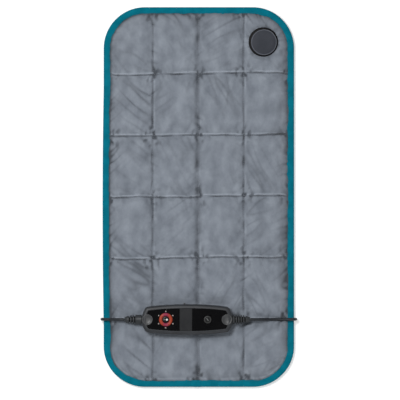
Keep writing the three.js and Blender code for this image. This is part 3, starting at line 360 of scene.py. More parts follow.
def add_form(form, other):
    """Adds one closed form to another as a loose shell of the same piece."""
    mesh = bpy.data.meshes.new("part")
    other.to_mesh(mesh)
    other.free()
    form.from_mesh(mesh)
    bpy.data.meshes.remove(mesh)
    return form


def hump(away, reach):
    """A smooth hump: one at its middle, and a third at its reach."""
    return math.exp(-(away / reach) ** 2)


plug_low, plug_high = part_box("plug_body")
plug_y = (plug_low.y + plug_high.y) / 2
plug_z = (plug_low.z + plug_high.z) / 2
tail_length = 18 * MM
body_low = Vector((plug_low.x + tail_length, plug_low.y, plug_low.z))
plug = box_form(body_low, plug_high, 2.4 * MM, 5)
bmesh.ops.subdivide_edges(
    plug, edges=[e for e in plug.edges if abs((e.verts[0].co - e.verts[1].co).x) > 10 * MM],
    cuts=9, use_grid_fill=True,
)
waist_at, waist_reach, shoulder_reach = 0.42, 0.2, 0.22
for vertex in plug.verts:
    along = (vertex.co.x - body_low.x) / (plug_high.x - body_low.x)
    waist = hump(along - waist_at, waist_reach)
    shoulder = max(0, 1 - along / shoulder_reach) ** 2
    vertex.co.y = plug_y + (vertex.co.y - plug_y) * (1 - 0.16 * waist - 0.30 * shoulder)
    vertex.co.z = plug_z + (vertex.co.z - plug_z) * (1 - 0.10 * waist)
tail_tip = 3.1 * MM
tail_root = 4.7 * MM
tail_groove = 1.1 * MM
tail_profile = [(0, 0), (tail_tip, 0)]
for ring in range(5):
    start = (2.5 + 2.8 * ring) * MM
    radius = tail_tip + (tail_root - tail_tip) * start / tail_length
    groove = radius - tail_groove
    tail_profile += [(radius, start), (groove, start + 0.25 * MM)]
    tail_profile += [(groove, start + 1.15 * MM), (radius + 0.1 * MM, start + 1.4 * MM)]
tail_profile += [(tail_root, tail_length), (tail_root, tail_length + 4 * MM), (0, tail_length + 4 * MM)]
add_form(plug, turned_form(tail_profile, (plug_low.x, plug_y, plug_z), (1, 0, 0), 32))
plug_piece = finish_piece("plug_moulding", plug, [black_plastic], "root", ["plug_body"])


# Pad cloth: the front is micro-plush and the back a plain woven cloth, both cut to the pad's rounded
# outline and sewn together along three long and five cross seams. The pockets between the seams are
# filled with beads, so they stand up as low pillows and pucker at the seams.
pad_half = Vector((152.5, 305)) * MM
pad_corner = 66 * MM
binding_width = 10.4 * MM
pocket_width = 72.8 * MM
pocket_length = 98.2 * MM
soft_seam = -0.8 * MM
seams_x = [-73.6 * MM, soft_seam, 72 * MM]
seams_y = [1.6 * MM + pocket_length * k for k in range(-2, 3)]
seam_height = 16.2 * MM
edge_rise = 28 * MM
rim_top = 10.4 * MM
cloth_edge = 6.5 * MM
lip_from_seam = 2.1 * MM
corner_x = pad_half.x - pad_corner
corner_y = pad_half.y - pad_corner
body_centre = Vector((-18.7, -194.8)) * MM
body_half = Vector((72.3, 24.4)) * MM
housing_low, housing_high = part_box("connector_base")
housing_x = (housing_low.x + housing_high.x) / 2
housing_y = (housing_low.y + housing_high.y) / 2


def pocket_lines(seams, half, steps, near):
    """Grid lines across the pad: one in each seam, two close to each side of it, even ones between."""
    ends = [-half, *seams, half]
    lines = []
    for low, high in zip(ends, ends[1:]):
        inner = high - low - 4 * near
        lines += [low, low + near]
        lines += [low + 2 * near + inner * k / (steps - 4) for k in range(steps - 3)]
        lines.append(high - near)
    return lines + [half]


def round_corner(x, y, half, corner):
    """Moves a point of a rectangle so that the rectangle's corners become quarter circles."""
    dx = (abs(x) - (half.x - corner)) / corner
    dy = (abs(y) - (half.y - corner)) / corner
    if dx <= 0 or dy <= 0:
        return x, y
    rx = dx * math.sqrt(1 - dy * dy / 2)
    ry = dy * math.sqrt(1 - dx * dx / 2)
    return (
        math.copysign(half.x - corner + rx * corner, x),
        math.copysign(half.y - corner + ry * corner, y),
    )


def depth_inside(x, y):
    """How far in from the pad's outline a point lies."""
    dx = abs(x) - corner_x
    dy = abs(y) - corner_y
    return pad_corner - math.hypot(max(dx, 0), max(dy, 0)) - min(max(dx, dy), 0)


def past_binding(x, y):
    return depth_inside(x, y) - binding_width


def from_housing(x, y):
    return math.hypot(x - housing_x, y - housing_y)


def from_coil(x, y):
    return math.hypot(x - coil_centre.x, y - coil_centre.y)


def fullness(x, y):
    """How far up its pocket's pillow a point lies, from none in a seam to all."""
    share = 1
    for value, seams, spacing in ((x, seams_x, pocket_width), (y, seams_y, pocket_length)):
        nearest = min(abs(value - seam) for seam in seams)
        share *= 1 - (1 - min(1, 2 * nearest / spacing)) ** 4
    return share


def pad_height(x, y):
    """The height of the front: pillows between the seams, going down to the thin rim."""
    inside = seam_height + (crown_height - seam_height) * fullness(x, y)
    share = clamp(past_binding(x, y) / edge_rise)
    return rim_top + (inside - rim_top) * (1 - (1 - share) ** 3)


def near_line(value, lines):
    """The nearest of some lines, and how far a value lies from it."""
    nearest = min(lines, key=lambda line: abs(value - line))
    return nearest, value - nearest


def rim_place(x, y):
    """How far round the rim a point lies, from the middle of the lower edge, and how far in."""
    dx = abs(x) - corner_x
    dy = abs(y) - corner_y
    quarter = corner_x + pad_corner * math.pi / 2 + corner_y
    if dx > 0 and dy > 0:
        along = corner_x + pad_corner * math.atan2(dx, dy)
    elif dy > dx:
        along = abs(x)
    else:
        along = quarter - abs(y)
    if y > 0:
        along = 2 * quarter - along
    return math.copysign(along, x), depth_inside(x, y)


def fold_noise(x, y, seed):
    return noise.noise(Vector((x, y, seed)))


def valley(value, width):
    """One along the lines where a noise value changes sign, falling to nothing on both sides."""
    return max(0, 1 - abs(value) / width) ** 1.3


gather_points = [Vector((x, y)) for x in seams_x for y in seams_y]
gather_points += [Vector((x, side * (pad_half.y - binding_width))) for x in seams_x for side in (-1, 1)]
gather_points += [Vector((side * (pad_half.x - binding_width), y)) for y in seams_y for side in (-1, 1)]
gather_spread = 40 * MM


def gathered(x, y):
    """The cloth bunches up where seams cross or meet the binding: ridges with small dents between.

    Gives the height in mm and how deep the place lies in a dent, from 0 to 1.
    """
    point = min(gather_points, key=lambda spot: (spot.x - x) ** 2 + (spot.y - y) ** 2)
    dx, dy = x - point.x, y - point.y
    away = math.hypot(dx, dy)
    if away > gather_spread:
        return 0, 0
    size = max(0.9, 1.4 + 1.3 * fold_noise(point.x * 31, point.y * 23, 17))
    angle = math.atan2(dy, dx)
    uneven = fold_noise(math.cos(angle) * 1.7, math.sin(angle) * 1.7, point.x * 60 + point.y * 40)
    size *= hump(away, (12.5 + 7 * uneven) * MM)
    lean = 0.6 * fold_noise(point.x * 50, point.y * 50, 20)
    hollow = fold_noise((x + lean * y) * 175, (y - lean * x) * 125, 19 + point.x * 80)
    dent = clamp(3.2 * (hollow - 0.03))
    return size * (1.2 - 2.4 * dent), size * dent


def seam_folds(x, y):
    """Short folds across the seams, where the thread pulls the cloth in. Depths are in mm."""
    seam_x, dx = near_line(x, seams_x)
    seam_y, dy = near_line(y, seams_y)
    lean_x = 0.5 * dx * (1 if fold_noise(seam_x * 40, y * 14, 5) > 0 else -1)
    lean_y = 0.5 * dy * (1 if fold_noise(x * 14, seam_y * 40, 6) > 0 else -1)
    pull_x = max(0, 0.4 + 1.9 * fold_noise(seam_x * 9, y * 22, 1))
    pull_y = max(0, 0.2 + 1.9 * fold_noise(x * 22, seam_y * 9, 2))
    fold_x = valley(fold_noise(dx * 12, (y + lean_x) * 70, seam_x * 50), 0.26)
    fold_y = valley(fold_noise((x + lean_y) * 70, dy * 12, seam_y * 50), 0.26)
    fall = 2.4 * pull_x * math.exp(-abs(dx) / (5 * MM)) * fold_x
    return fall + 2.0 * pull_y * math.exp(-abs(dy) / (6 * MM)) * fold_y


def rim_folds(x, y, depth):
    """Folds that run in from the binding at a slant, weaker in the pad's corners."""
    along = rim_place(x, y)[0]
    most = 1.4 if abs(x) > corner_x and abs(y) > corner_y else 3.2
    pull = max(0, 0.5 + 2.0 * fold_noise(along * 15, 1, 3))
    slant = depth * (1.0 if x < 0 else 0.5)
    fold = valley(fold_noise((along + slant) * 60, depth * 20, 7), 0.24)
    return most * pull * math.exp(-depth / (9 * MM)) * fold


def housing_folds(x, y):
    """Short spokes round the ring that the housing clamps."""
    away = from_housing(x, y) - 22 * MM
    if away <= 0:
        return 0
    angle = math.atan2(y - housing_y, x - housing_x)
    spoke = fold_noise(math.cos(angle) * 3.1, math.sin(angle) * 3.1, 61 + away * 20)
    return 2.6 * math.exp(-away / (6 * MM)) * valley(spoke, 0.2)


def pocket_folds(x, y, depth):
    """Long slack folds inside the pockets, and a broad swell. Each pocket has its own direction."""
    column = sum(x > seam for seam in seams_x)
    row = sum(y > seam for seam in seams_y)
    if column == 0:
        turn = -0.8 + 0.4 * fold_noise(1, row * 2.3, 8)
        slack = 1.4 if y < 0 else 1.1
    else:
        turn = (0.9 if (column + row) % 2 else -0.5) + 0.9 * fold_noise(column * 1.7, row * 2.3, 8)
        slack = 0.9
    across = x * math.cos(turn) - y * math.sin(turn)
    onward = x * math.sin(turn) + y * math.cos(turn)
    strength = max(0, 0.3 + 2.0 * fold_noise(x * 16, y * 16, 9))
    from_seam = min(abs(near_line(x, seams_x)[1]), abs(near_line(y, seams_y)[1]))
    drawn = min(1, from_seam / (6 * MM)) * min(1, depth / (8 * MM))
    fall = slack * strength * drawn * valley(fold_noise(across * 72, onward * 14, 10), 0.2)
    swell = 0.9 * fold_noise(x * 26, y * 22, 12) + 0.6 * fold_noise(across * 66, onward * 30, 14)
    return fall, swell * min(1, depth / (12 * MM))


def pucker(x, y):
    """All the cloth's folds: their height, and the painted shade that darkens them, from 0 up."""
    depth = max(0, past_binding(x, y))
    slack, swell = pocket_folds(x, y, depth)
    fall = seam_folds(x, y) + rim_folds(x, y, depth) + housing_folds(x, y) + slack
    crumple = 0.5 * fold_noise(x * 110, y * 95, 15) + 0.35 * fold_noise(x * 210, y * 190, 16)
    bunch, dent = gathered(x, y)
    # The second value is painted shade: darker in the folds and in the dents between the ridges.
    return (swell + crumple - fall + bunch) * MM, 0.3 * fall + 0.85 * dent


def seam_lip(x, y):
    """The upper pocket's cloth rolls over each cross seam as a narrow lip, on a crisp groove."""
    seam_y, dy = near_line(y, seams_y)
    dx = near_line(x, seams_x)[1]
    size = (1 + 0.7 * fold_noise(x * 20, seam_y * 8, 21)) * min(1, 0.25 + abs(dx) / (9 * MM))
    return 1.15 * MM * size * hump(dy - lip_from_seam, 1.1 * MM)


def seam_groove(x, y):
    """The thread pulls a narrow groove along each seam. The middle long seam is a wide soft one."""
    seam_x, dx = near_line(x, seams_x)
    seam_y, dy = near_line(y, seams_y)
    width, depth = (3.6 * MM, 1.4 * MM) if seam_x == soft_seam else (1.8 * MM, 0.9 * MM)
    groove = depth * (1 + 0.8 * fold_noise(seam_x * 30, y * 30, 22)) * hump(dx, width)
    return groove + 0.9 * MM * (1 + 0.8 * fold_noise(x * 30, seam_y * 30, 23)) * hump(dy, 1.1 * MM)


def rim_groove(x, y):
    """The cloth dips under the binding's inner edge before it rises."""
    return 1.0 * MM * hump(max(0, past_binding(x, y)), 1.7 * MM)


def bowed(x, y):
    """The whole pad's left side bows out a little, and its lower edge is drawn in."""
    share = max(0, 1 - ((y + 15 * MM) / (190 * MM)) ** 2)
    bow = -1.8 * MM * share * clamp((-x - 80 * MM) / (60 * MM))
    return x + bow, y + 1.7 * MM * clamp((-y - 225 * MM) / (60 * MM))


def settled(x, y):
    """Where a place of the flat front comes to lie: the pad bows, and the seams slope and wander."""
    free = clamp(past_binding(x, y) / (8 * MM)) * clamp((from_housing(x, y) - 24 * MM) / (15 * MM))
    wander_x = 1.6 * fold_noise(x * 13, y * 15, 71) + 0.9 * fold_noise(x * 30, y * 36, 72)
    wander_y = 14 * x + 1.6 * fold_noise(x * 15, y * 13, 73) + 1.5 * fold_noise(x * 38, y * 30, 74)
    wander_y *= min(1, abs(y - body_centre.y) / (40 * MM))
    x_bowed, y_bowed = bowed(x, y)
    return x_bowed + wander_x * free * MM, y_bowed + wander_y * free * MM


def soft_ceiling(z, ceiling, softness):
    """Presses a height down under a ceiling, with a soft bend just below it."""
    room = (ceiling - z) / softness
    return z if room > 20 else ceiling - softness * math.log1p(math.exp(room))


flange_radius = 23.5 * MM
under_load = 17.2 * MM
under_cord = 16.7 * MM


def pressed(x, y, z):
    """Presses the cloth flat under the round housing, the controller and the cords."""
    beyond = max(0, from_housing(x, y) - flange_radius)
    z = soft_ceiling(z, under_load + 0.55 * beyond, 0.2 * MM)
    beyond_x = abs(x - body_centre.x) - body_half.x * 0.93
    beyond_y = abs(y - body_centre.y) - body_half.y
    z = soft_ceiling(z, under_load + 0.35 * max(0, beyond_x, beyond_y), 0.5 * MM)
    from_cord = max(0, abs(y - body_centre.y) - 2.2 * MM)
    return soft_ceiling(z, under_cord + 0.9 * from_cord, 0.2 * MM)


cloth_half = pad_half - Vector((cloth_edge, cloth_edge))


def cloth_grid(steps_x, steps_y, near):
    """A flat grid cut to the pad's outline, with a line of points in every seam."""
    lines_x = pocket_lines(seams_x, cloth_half.x, steps_x, near)
    lines_y = pocket_lines(seams_y, cloth_half.y, steps_y, near)
    form = bmesh.new()
    bmesh.ops.create_grid(
        form, x_segments=len(lines_x) - 1, y_segments=len(lines_y) - 1, size=0.5,
        matrix=Matrix.Translation((0.5, 0.5, 0)),
    )
    form.verts.index_update()
    sewn = {}
    for vertex in form.verts:
        i = round(vertex.co.x * (len(lines_x) - 1))
        j = round(vertex.co.y * (len(lines_y) - 1))
        sewn[vertex.index] = (i % steps_x == 0, j % steps_y == 0)
        x, y = round_corner(lines_x[i], lines_y[j], cloth_half, pad_corner - cloth_edge)
        vertex.co = (x, y, 0)
    return form, sewn


front, sewn = cloth_grid(steps_x=23, steps_y=31, near=1.4 * MM)
held = []
for vertex in front.verts:
    in_x, in_y = sewn[vertex.index]
    x, y, z = vertex.co
    z = pad_height(x, y)
    if (in_x or in_y) and past_binding(x, y) > 4 * MM:
        z += 0.5 * MM * fold_noise(x * 28, y * 28, 0) - (0.5 * MM if in_x and in_y else 0.2 * MM)
        x += 0.8 * MM * fold_noise(3, y * 22, 1) if in_x else 0
        y += 0.8 * MM * fold_noise(x * 22, 5, 2) if in_y else 0
    vertex.co = (x, y, z)
    if in_x or in_y or vertex.is_boundary:
        held.append(vertex.index)
front_mesh = bpy.data.meshes.new("front_cloth")
front.to_mesh(front_mesh)
front.free()
front_cloth = bpy.data.objects.new("front_cloth", front_mesh)
scene.collection.objects.link(front_cloth)

puff_frames = 30
most_rise = 1.3 * MM
most_move = 2.5 * MM
pins = front_cloth.vertex_groups.new(name="sewn")
pins.add(held, 1.0, "REPLACE")
cloth = front_cloth.modifiers.new("Cloth", "CLOTH")
settings = cloth.settings
settings.quality = 6
settings.mass = 0.15
settings.tension_stiffness = 20
settings.compression_stiffness = 20
settings.shear_stiffness = 8
settings.bending_stiffness = 0.03
settings.tension_damping = 10
settings.compression_damping = 10
settings.shear_damping = 10
settings.vertex_group_mass = "sewn"
settings.shrink_min = settings.shrink_max = -0.022
settings.use_pressure = True
settings.uniform_pressure_force = 0.12
settings.effector_weights.gravity = 0
cloth.collision_settings.use_collision = False
cloth.collision_settings.use_self_collision = False
cloth.point_cache.frame_start = 1
cloth.point_cache.frame_end = puff_frames
for step in range(1, puff_frames + 1):
    scene.frame_set(step)
puffed = bpy.data.meshes.new_from_object(
    front_cloth.evaluated_get(bpy.context.evaluated_depsgraph_get()),
)
for start, end in zip(front_mesh.vertices, puffed.vertices):
    move = end.co - start.co
    move.z = max(-most_rise, min(most_rise, move.z))
    if move.length > most_move:
        move *= most_move / move.length
    start.co += move
front_cloth.modifiers.clear()
front_cloth.vertex_groups.clear()

heated_low = 14.9 * MM
least_height = 15.1 * MM
barrel_hole = 15.9 * MM


def open_round(form, centre, radius):
    """Cuts a round opening into a cloth and draws its edge onto the circle."""
    inside = [f for f in form.faces if (f.calc_center_median().xy - centre).length < radius]
    rim = {v for f in inside for v in f.verts}
    bmesh.ops.delete(form, geom=inside, context="FACES")
    for vertex in rim:
        if vertex.is_valid and vertex.is_boundary:
            outward = vertex.co.xy - centre
            vertex.co.xy = centre + outward * radius / outward.length


def close_cloth(form, other_height):
    """Gives an open cloth its other side, so that it is one closed padded form."""
    shell = bmesh.ops.extrude_face_region(form, geom=form.faces[:], use_keep_orig=True)
    added = {v for v in shell["geom"] if isinstance(v, bmesh.types.BMVert)}
    for vertex in added:
        vertex.co.z = other_height(vertex.co.x, vertex.co.y)
    bmesh.ops.recalc_face_normals(form, faces=form.faces[:])
    return added


front = bmesh.new()
front.from_mesh(front_mesh)
housing_middle = Vector((housing_x, housing_y))
open_round(front, housing_middle, barrel_hole)
lower = close_cloth(front, lambda x, y: min(heated_low, 8.9 * MM + 0.25 * max(0, past_binding(x, y))))
upper_edges = [e for e in front.edges if e.verts[0] not in lower and e.verts[1] not in lower]
lower_places = {v.co.to_tuple(7) for v in lower}
# Painted shade of each point of the front, from its folds.
painted_fold_shade = {}
bmesh.ops.subdivide_edges(front, edges=upper_edges, cuts=1, use_grid_fill=True, smooth=0.5)
front.verts.index_update()
for vertex in front.verts:
    x, y, z = vertex.co
    if vertex.co.to_tuple(7) in lower_places:
        continue
    folds, painted_fold_shade[vertex.index] = pucker(x, y)
    z += folds + seam_lip(x, y) - seam_groove(x, y) - rim_groove(x, y)
    inside = past_binding(x, y)
    if inside > 0:
        floor_below = least_height if inside > 22 * MM else rim_top - 0.9 * MM + 0.26 * inside
        vertex.co.z = pressed(x, y, max(z, floor_below))
    else:
        vertex.co.z = rim_top - 0.4 * MM
front_skin = BVHTree.FromBMesh(front)


def painted_light_and_shade(x, y, shade_in_fold):
    """How much painted shade and painted highlight the pile gets: at the seams, the rim and in folds."""
    seam_x, dx = near_line(x, seams_x)
    seam_y, dy = near_line(y, seams_y)
    # Painted shade beside each long seam, shifted to its left side, and along each cross seam.
    reach, lean = (4 * MM, 1.5 * MM) if seam_x == soft_seam else (2 * MM, 0.6 * MM)
    beside = hump(dx + lean, reach) * (0.8 + 1.4 * fold_noise(seam_x * 30, y * 45, 51))
    across = hump(dy + 0.4 * MM, 1.2 * MM) * (0.7 + 1.4 * fold_noise(x * 45, seam_y * 30, 52))
    inside = max(0, past_binding(x, y))
    # Painted shadow inside the binding: a narrow dark line on the left, a soft darker zone on the right, less
    # at the lower edge.
    leftward = clamp(-x / (120 * MM))
    rightward = clamp(x / (120 * MM))
    downward = clamp((-y - 240 * MM) / (40 * MM))
    rim = 0.35 * math.exp(-inside / (2 * MM)) * (1 - downward)
    rim += 1.1 * leftward * math.exp(-inside / (1.5 * MM)) + 0.35 * rightward * math.exp(-inside / (6 * MM))
    # Painted highlight on the lip above each cross seam and on the right edge of each long seam.
    crest_highlight = hump(dy - lip_from_seam, 0.9 * MM) * (0.8 + 0.8 * fold_noise(x * 30, seam_y * 30, 53))
    edge = hump(dx - 1.6 * MM - lean, 1.0 * MM) * (0.15 + 1.3 * fold_noise(seam_x * 30, y * 30, 54))
    light = (max(0, crest_highlight) + max(0, 0.8 * edge)) * (1 - min(1, 2 * rim))
    # Painted light line just inside the lower binding.
    light += 0.7 * downward * hump(inside - 2.4 * MM, 1.6 * MM)
    return (
        clamp(0.6 * beside + 0.85 * across + rim + shade_in_fold),
        min(1, light * (1 - min(1, 2 * shade_in_fold))),
    )


# The front carries painted shade and painted highlight as two attributes of its points.
shade_layer = front.verts.layers.float.new("painted_shade")
highlight_layer = front.verts.layers.float.new("painted_highlight")
for vertex in front.verts:
    x, y, z = vertex.co
    vertex[shade_layer], vertex[highlight_layer] = painted_light_and_shade(x, y, painted_fold_shade.get(vertex.index, 0))
    vertex.co.xy = settled(x, y)
front.to_mesh(front_mesh)
front.free()


def micro_plush(name, low, high, sheen):
    """Short-pile cloth: a soft mottle where the pile leans, fine nap, and a sheen at its edges.

    Two attributes paint light into its colour: darker in painted shade, lighter in painted highlight.
    """
    material, shader, tree, links = new_material(name, {
        "Roughness": 0.95, "Specular IOR Level": 0.2, "Sheen Weight": sheen, "Sheen Roughness": 0.45,
    })
    brushed = noise_factor(tree, links, 55, 8, 0.3, 0.7, (1, 0.7, 1))
    colour = ramp_mix(tree, links, brushed, low, high)
    # Painted shade darkens the colour and painted highlight lightens it.
    for layer, painted_tone in (
        ("painted_shade", tuple(0.42 * channel for channel in low)),
        ("painted_highlight", tuple(1.3 * channel for channel in high)),
    ):
        pile = add_node(tree, "Attribute")
        pile.attribute_name = layer
        colour = ramp_mix(tree, links, pile.outputs["Fac"], colour, painted_tone)
    links.new(colour, shader.inputs["Base Color"])
    nap = noise_factor(tree, links, 620, 4, 0.25, 0.75)
    tufts = noise_factor(tree, links, 170, 4, 0.3, 0.7)
    tufted = add_bump(tree, links, tufts, 0.6 * MM, 0.7)
    links.new(add_bump(tree, links, nap, 0.2 * MM, 0.8, tufted), shader.inputs["Normal"])
    return material


plush = micro_plush("grey_micro_plush", (0.172, 0.194, 0.229), (0.270, 0.300, 0.346), 0.3)
front_mesh.materials.append(plush)
front_mesh.shade_smooth()
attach(front_cloth, "root")
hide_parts("top_quilt")


# Back cloth: plain grey woven cloth under the same seams. It lies on the table between them, and
# drapes over the coil, the cords, the plug and the round housing's lower half.
seam_lift = 3.5 * MM
rim_low = 6.8 * MM
back_top = 12.15 * MM
rear_hole = 22.4 * MM
relief_tip = Vector((79.5, 211.5, 6)) * MM
cord_reach = 12 * MM


def from_segment(x, y, start, end):
    """How far a place is from a straight stretch of cord, and how high the cord lies there."""
    run = end.xy - start.xy
    share = clamp((Vector((x, y)) - start.xy).dot(run) / max(run.length_squared, 1e-9))
    return (Vector((x, y)) - start.xy - run * share).length, start.z + (end.z - start.z) * share


cords_below = [
    [p for p in route if p.z < 12 * MM] for route in (pad_lead_route, mains_lead_route, plug_lead_route)
]


def draped(high, away):
    """The height of cloth that falls steeply from something that lifts it."""
    return high - 1.1 * max(0, away)


def back_height(x, y):
    """The underside: low pillows between the seams, raised over everything that lies below."""
    rim = rim_low * max(0, 1 - max(0, past_binding(x, y)) / edge_rise) ** 2
    z = max(seam_lift * (1 - fullness(x, y)) ** 2, rim) + 0.25 * MM * fold_noise(x * 40, y * 40, 31)
    beyond_tie = max(abs(x - tie_middle.x) - 6 * MM, abs(y - tie_middle.y) - 17.5 * MM)
    beyond_plug = math.hypot(
        max(plug_low.x - 2 * MM - x, x - 41 * MM, 0), max(abs(y - plug_y) - 13.5 * MM, 0),
    )
    raised = [
        z,
        draped(10.9 * MM, from_coil(x, y) - 45 * MM),
        draped(11.8 * MM, beyond_tie),
        draped(11.6 * MM, beyond_plug),
    ]
    for route in cords_below:
        for start, end in zip(route, route[1:]):
            if min(start.x, end.x) - cord_reach < x < max(start.x, end.x) + cord_reach and (
                min(start.y, end.y) - cord_reach < y < max(start.y, end.y) + cord_reach
            ):
                away, high = from_segment(x, y, start, end)
                raised.append(draped(high + 2.7 * MM, away - 3 * MM))
    from_relief = from_segment(x, y, relief_tip, Vector((housing_x, housing_y, relief_tip.z)))[0]
    raised.append(draped(10.9 * MM, from_relief - 5.5 * MM))
    return min(max(raised), back_top - 0.3 * MM)


back = cloth_grid(steps_x=26, steps_y=34, near=1.6 * MM)[0]
for vertex in back.verts:
    vertex.co.z = back_height(vertex.co.x, vertex.co.y)
open_round(back, housing_middle, rear_hole)
close_cloth(back, lambda x, y: min(back_top, 8.4 * MM + 0.25 * max(0, past_binding(x, y))))
for vertex in back.verts:
    vertex.co.xy = bowed(vertex.co.x, vertex.co.y)


def woven_cloth(name, low, high, pitch, depth):
    """Plain weave: crossed fine threads in the surface and a slight mottle in the colour."""
    material, shader, tree, links = new_material(name, {"Roughness": 0.9, "Sheen Weight": 0.15})
    mottle = noise_factor(tree, links, 90, 4)
    links.new(ramp_mix(tree, links, mottle, low, high), shader.inputs["Base Color"])
    place = add_node(tree, "TexCoord")
    normal = None
    for direction in ("X", "Y"):
        threads = add_node(tree, "TexWave", {"Scale": 0.314 / pitch, "Distortion": 0.6})
        threads.bands_direction = direction
        links.new(place.outputs["Object"], threads.inputs["Vector"])
        normal = add_bump(tree, links, threads.outputs["Fac"], depth, 0.6, normal)
    links.new(normal, shader.inputs["Normal"])
    return material


backing = woven_cloth(
    "grey_backing", (0.150, 0.168, 0.190), (0.185, 0.205, 0.230), 0.9 * MM, 0.1 * MM,
)
back_cloth = finish_piece("back_cloth", back, [backing], "root", ["bottom_quilt"], 60)


# Edge binding: one teal tape folded over the rim of both cloths and sewn through. It is gathered a
# little round the corners, and its two ends overlap at the middle of the lower edge.
rim_middle = 8.6 * MM
tape_step = 4 * MM
tape_start = -5 * MM
fold = [
    (0.0, 0.0), (0.25, 1.0), (0.8, 1.9), (1.8, 2.45), (3.4, 2.75), (5.4, 2.85), (7.4, 2.78),
    (9.2, 2.6), (10.1, 2.45), (10.4, 2.2), (10.3, 2.0),
]
fold_inside = [(9.0, 1.98), (5.0, 1.98), (1.9, 1.9)]
section = fold + fold_inside
section += [(depth, -height) for depth, height in reversed(fold_inside)]
section += [(depth, -height) for depth, height in fold[:0:-1]]
tape = bmesh.new()
ring = [
    tape.verts.new((tape_start, -pad_half.y + depth * MM, rim_middle + height * MM))
    for depth, height in section
]
first_end = [tape.edges.new((a, b)) for a, b in zip(ring, ring[1:] + ring[:1])]


def run_tape(edges, way):
    """Runs the tape on in a straight line from its open end, and gives the new end."""
    way = Vector(way)
    steps = max(1, round(way.length / tape_step))
    for step in range(steps):
        added = bmesh.ops.extrude_edge_only(tape, edges=edges)["geom"]
        corners = [v for v in added if isinstance(v, bmesh.types.BMVert)]
        bmesh.ops.translate(tape, verts=corners, vec=way / steps)
        edges = [e for e in added if isinstance(e, bmesh.types.BMEdge) and len(e.link_faces) == 1]
    return edges


def turn_tape(edges, x, y):
    """Turns the tape round a corner of the pad, and gives the new end."""
    corners = list({v for e in edges for v in e.verts})
    added = bmesh.ops.spin(
        tape, geom=corners + edges, cent=(x, y, 0), axis=(0, 0, 1), angle=math.pi / 2, steps=40,
    )["geom_last"]
    return [e for e in added if isinstance(e, bmesh.types.BMEdge)]


ends = run_tape(first_end, (corner_x - tape_start, 0, 0))
for x, y, way in (
    (corner_x, -corner_y, (0, 2 * corner_y, 0)), (corner_x, corner_y, (-2 * corner_x, 0, 0)),
    (-corner_x, corner_y, (0, -2 * corner_y, 0)),
):
    ends = run_tape(turn_tape(ends, x, y), way)
ends = turn_tape(ends, -corner_x, -corner_y)
before_lap = set(tape.verts)
ends = run_tape(ends, (corner_x - 8 * MM, 0, 0))
ends = run_tape(ends, (12 * MM, 0, 0))
lap = {v for v in tape.verts if v not in before_lap and v.co.x > -10 * MM}
bmesh.ops.edgeloop_fill(tape, edges=first_end)
bmesh.ops.edgeloop_fill(tape, edges=ends)
bmesh.ops.recalc_face_normals(tape, faces=tape.faces[:])
for vertex in tape.verts:
    x, y, z = vertex.co
    along, depth = rim_place(x, y)
    inner = clamp((depth - 2 * MM) / (8 * MM))
    wander = 2.0 * MM * fold_noise(along * 22, 1, 41) + 1.3 * MM * fold_noise(along * 75, 2, 42)
    if abs(y) < corner_y:
        inward = Vector((-math.copysign(1, x), 0, 0))
    elif abs(x) > corner_x:
        inward = -Vector((x - math.copysign(corner_x, x), y - math.copysign(corner_y, y), 0)).normalized()
    else:
        inward = Vector((0, -math.copysign(1, y), 0))
    vertex.co += inward * wander * inner
    side = 1 if z > rim_middle else -1
    gather = 0.28 if abs(x) > corner_x - 8 * MM and abs(y) > corner_y - 8 * MM else 0.1
    full = min(1, depth / (3 * MM))
    vertex.co.z += side * full * gather * MM * fold_noise(along * 260, depth * 40, 43)
    if vertex in lap:
        middle = Vector((x, -pad_half.y + 5.2 * MM, rim_middle))
        vertex.co += (vertex.co - middle).normalized() * 0.35 * MM * min(1, (x + 10 * MM) / (3 * MM))
        vertex.co.y = max(vertex.co.y, -pad_half.y - 0.2 * MM)
    vertex.co.xy = bowed(vertex.co.x, vertex.co.y)
tape_skin = BVHTree.FromBMesh(tape)
way_round = tape.loops.layers.uv.new("tape_way")
for face in tape.faces:
    places = [rim_place(loop.vert.co.x, loop.vert.co.y) for loop in face.loops]
    for loop, (along, depth) in zip(face.loops, places):
        loop[way_round].uv = (along, depth)


def ribbed_tape(name, low, high):
    """Woven binding tape with fine ribs across it."""
    material, shader, tree, links = new_material(name, {"Roughness": 0.78, "Specular IOR Level": 0.03})
    mottle = noise_factor(tree, links, 70, 4)
    links.new(ramp_mix(tree, links, mottle, low, high), shader.inputs["Base Color"])
    way = add_node(tree, "UVMap")
    way.uv_map = "tape_way"
    ribs = add_node(tree, "TexWave", {"Scale": 330, "Distortion": 0.4})
    links.new(way.outputs["UV"], ribs.inputs["Vector"])
    links.new(add_bump(tree, links, ribs.outputs["Fac"], 0.12 * MM, 0.6), shader.inputs["Normal"])
    return material


teal_tape = ribbed_tape("teal_tape", (0.0012, 0.138, 0.200), (0.0022, 0.176, 0.250))
finish_piece("teal_binding", tape, [teal_tape], "root", ["edge_binding"], 60)


# Stitches: a lockstitch of polyester thread through both cloths along every quilting seam, and a
# second one, teal, close to the inner edge of the binding.
def add_stitch(form, place, direction, length, thickness):
    turn = Vector((direction.x, direction.y, 0)).to_track_quat("X", "Z").to_matrix().to_4x4()
    shape = Matrix.Diagonal((length / 2, thickness / 2, thickness / 2, 1))
    bmesh.ops.create_icosphere(
        form, subdivisions=1, radius=1, matrix=Matrix.Translation(place) @ turn @ shape,
    )


def thread(name, low, high):
    return moulded_plastic(name, low, high, 0.8, 1500, 0.03 * MM)


def drop_on(skin, x, y):
    """The height at which something let down on a skin comes to lie."""
    hit = skin.ray_cast(Vector((x, y, 60 * MM)), Vector((0, 0, -1)))[0]
    return hit.z if hit is not None else None


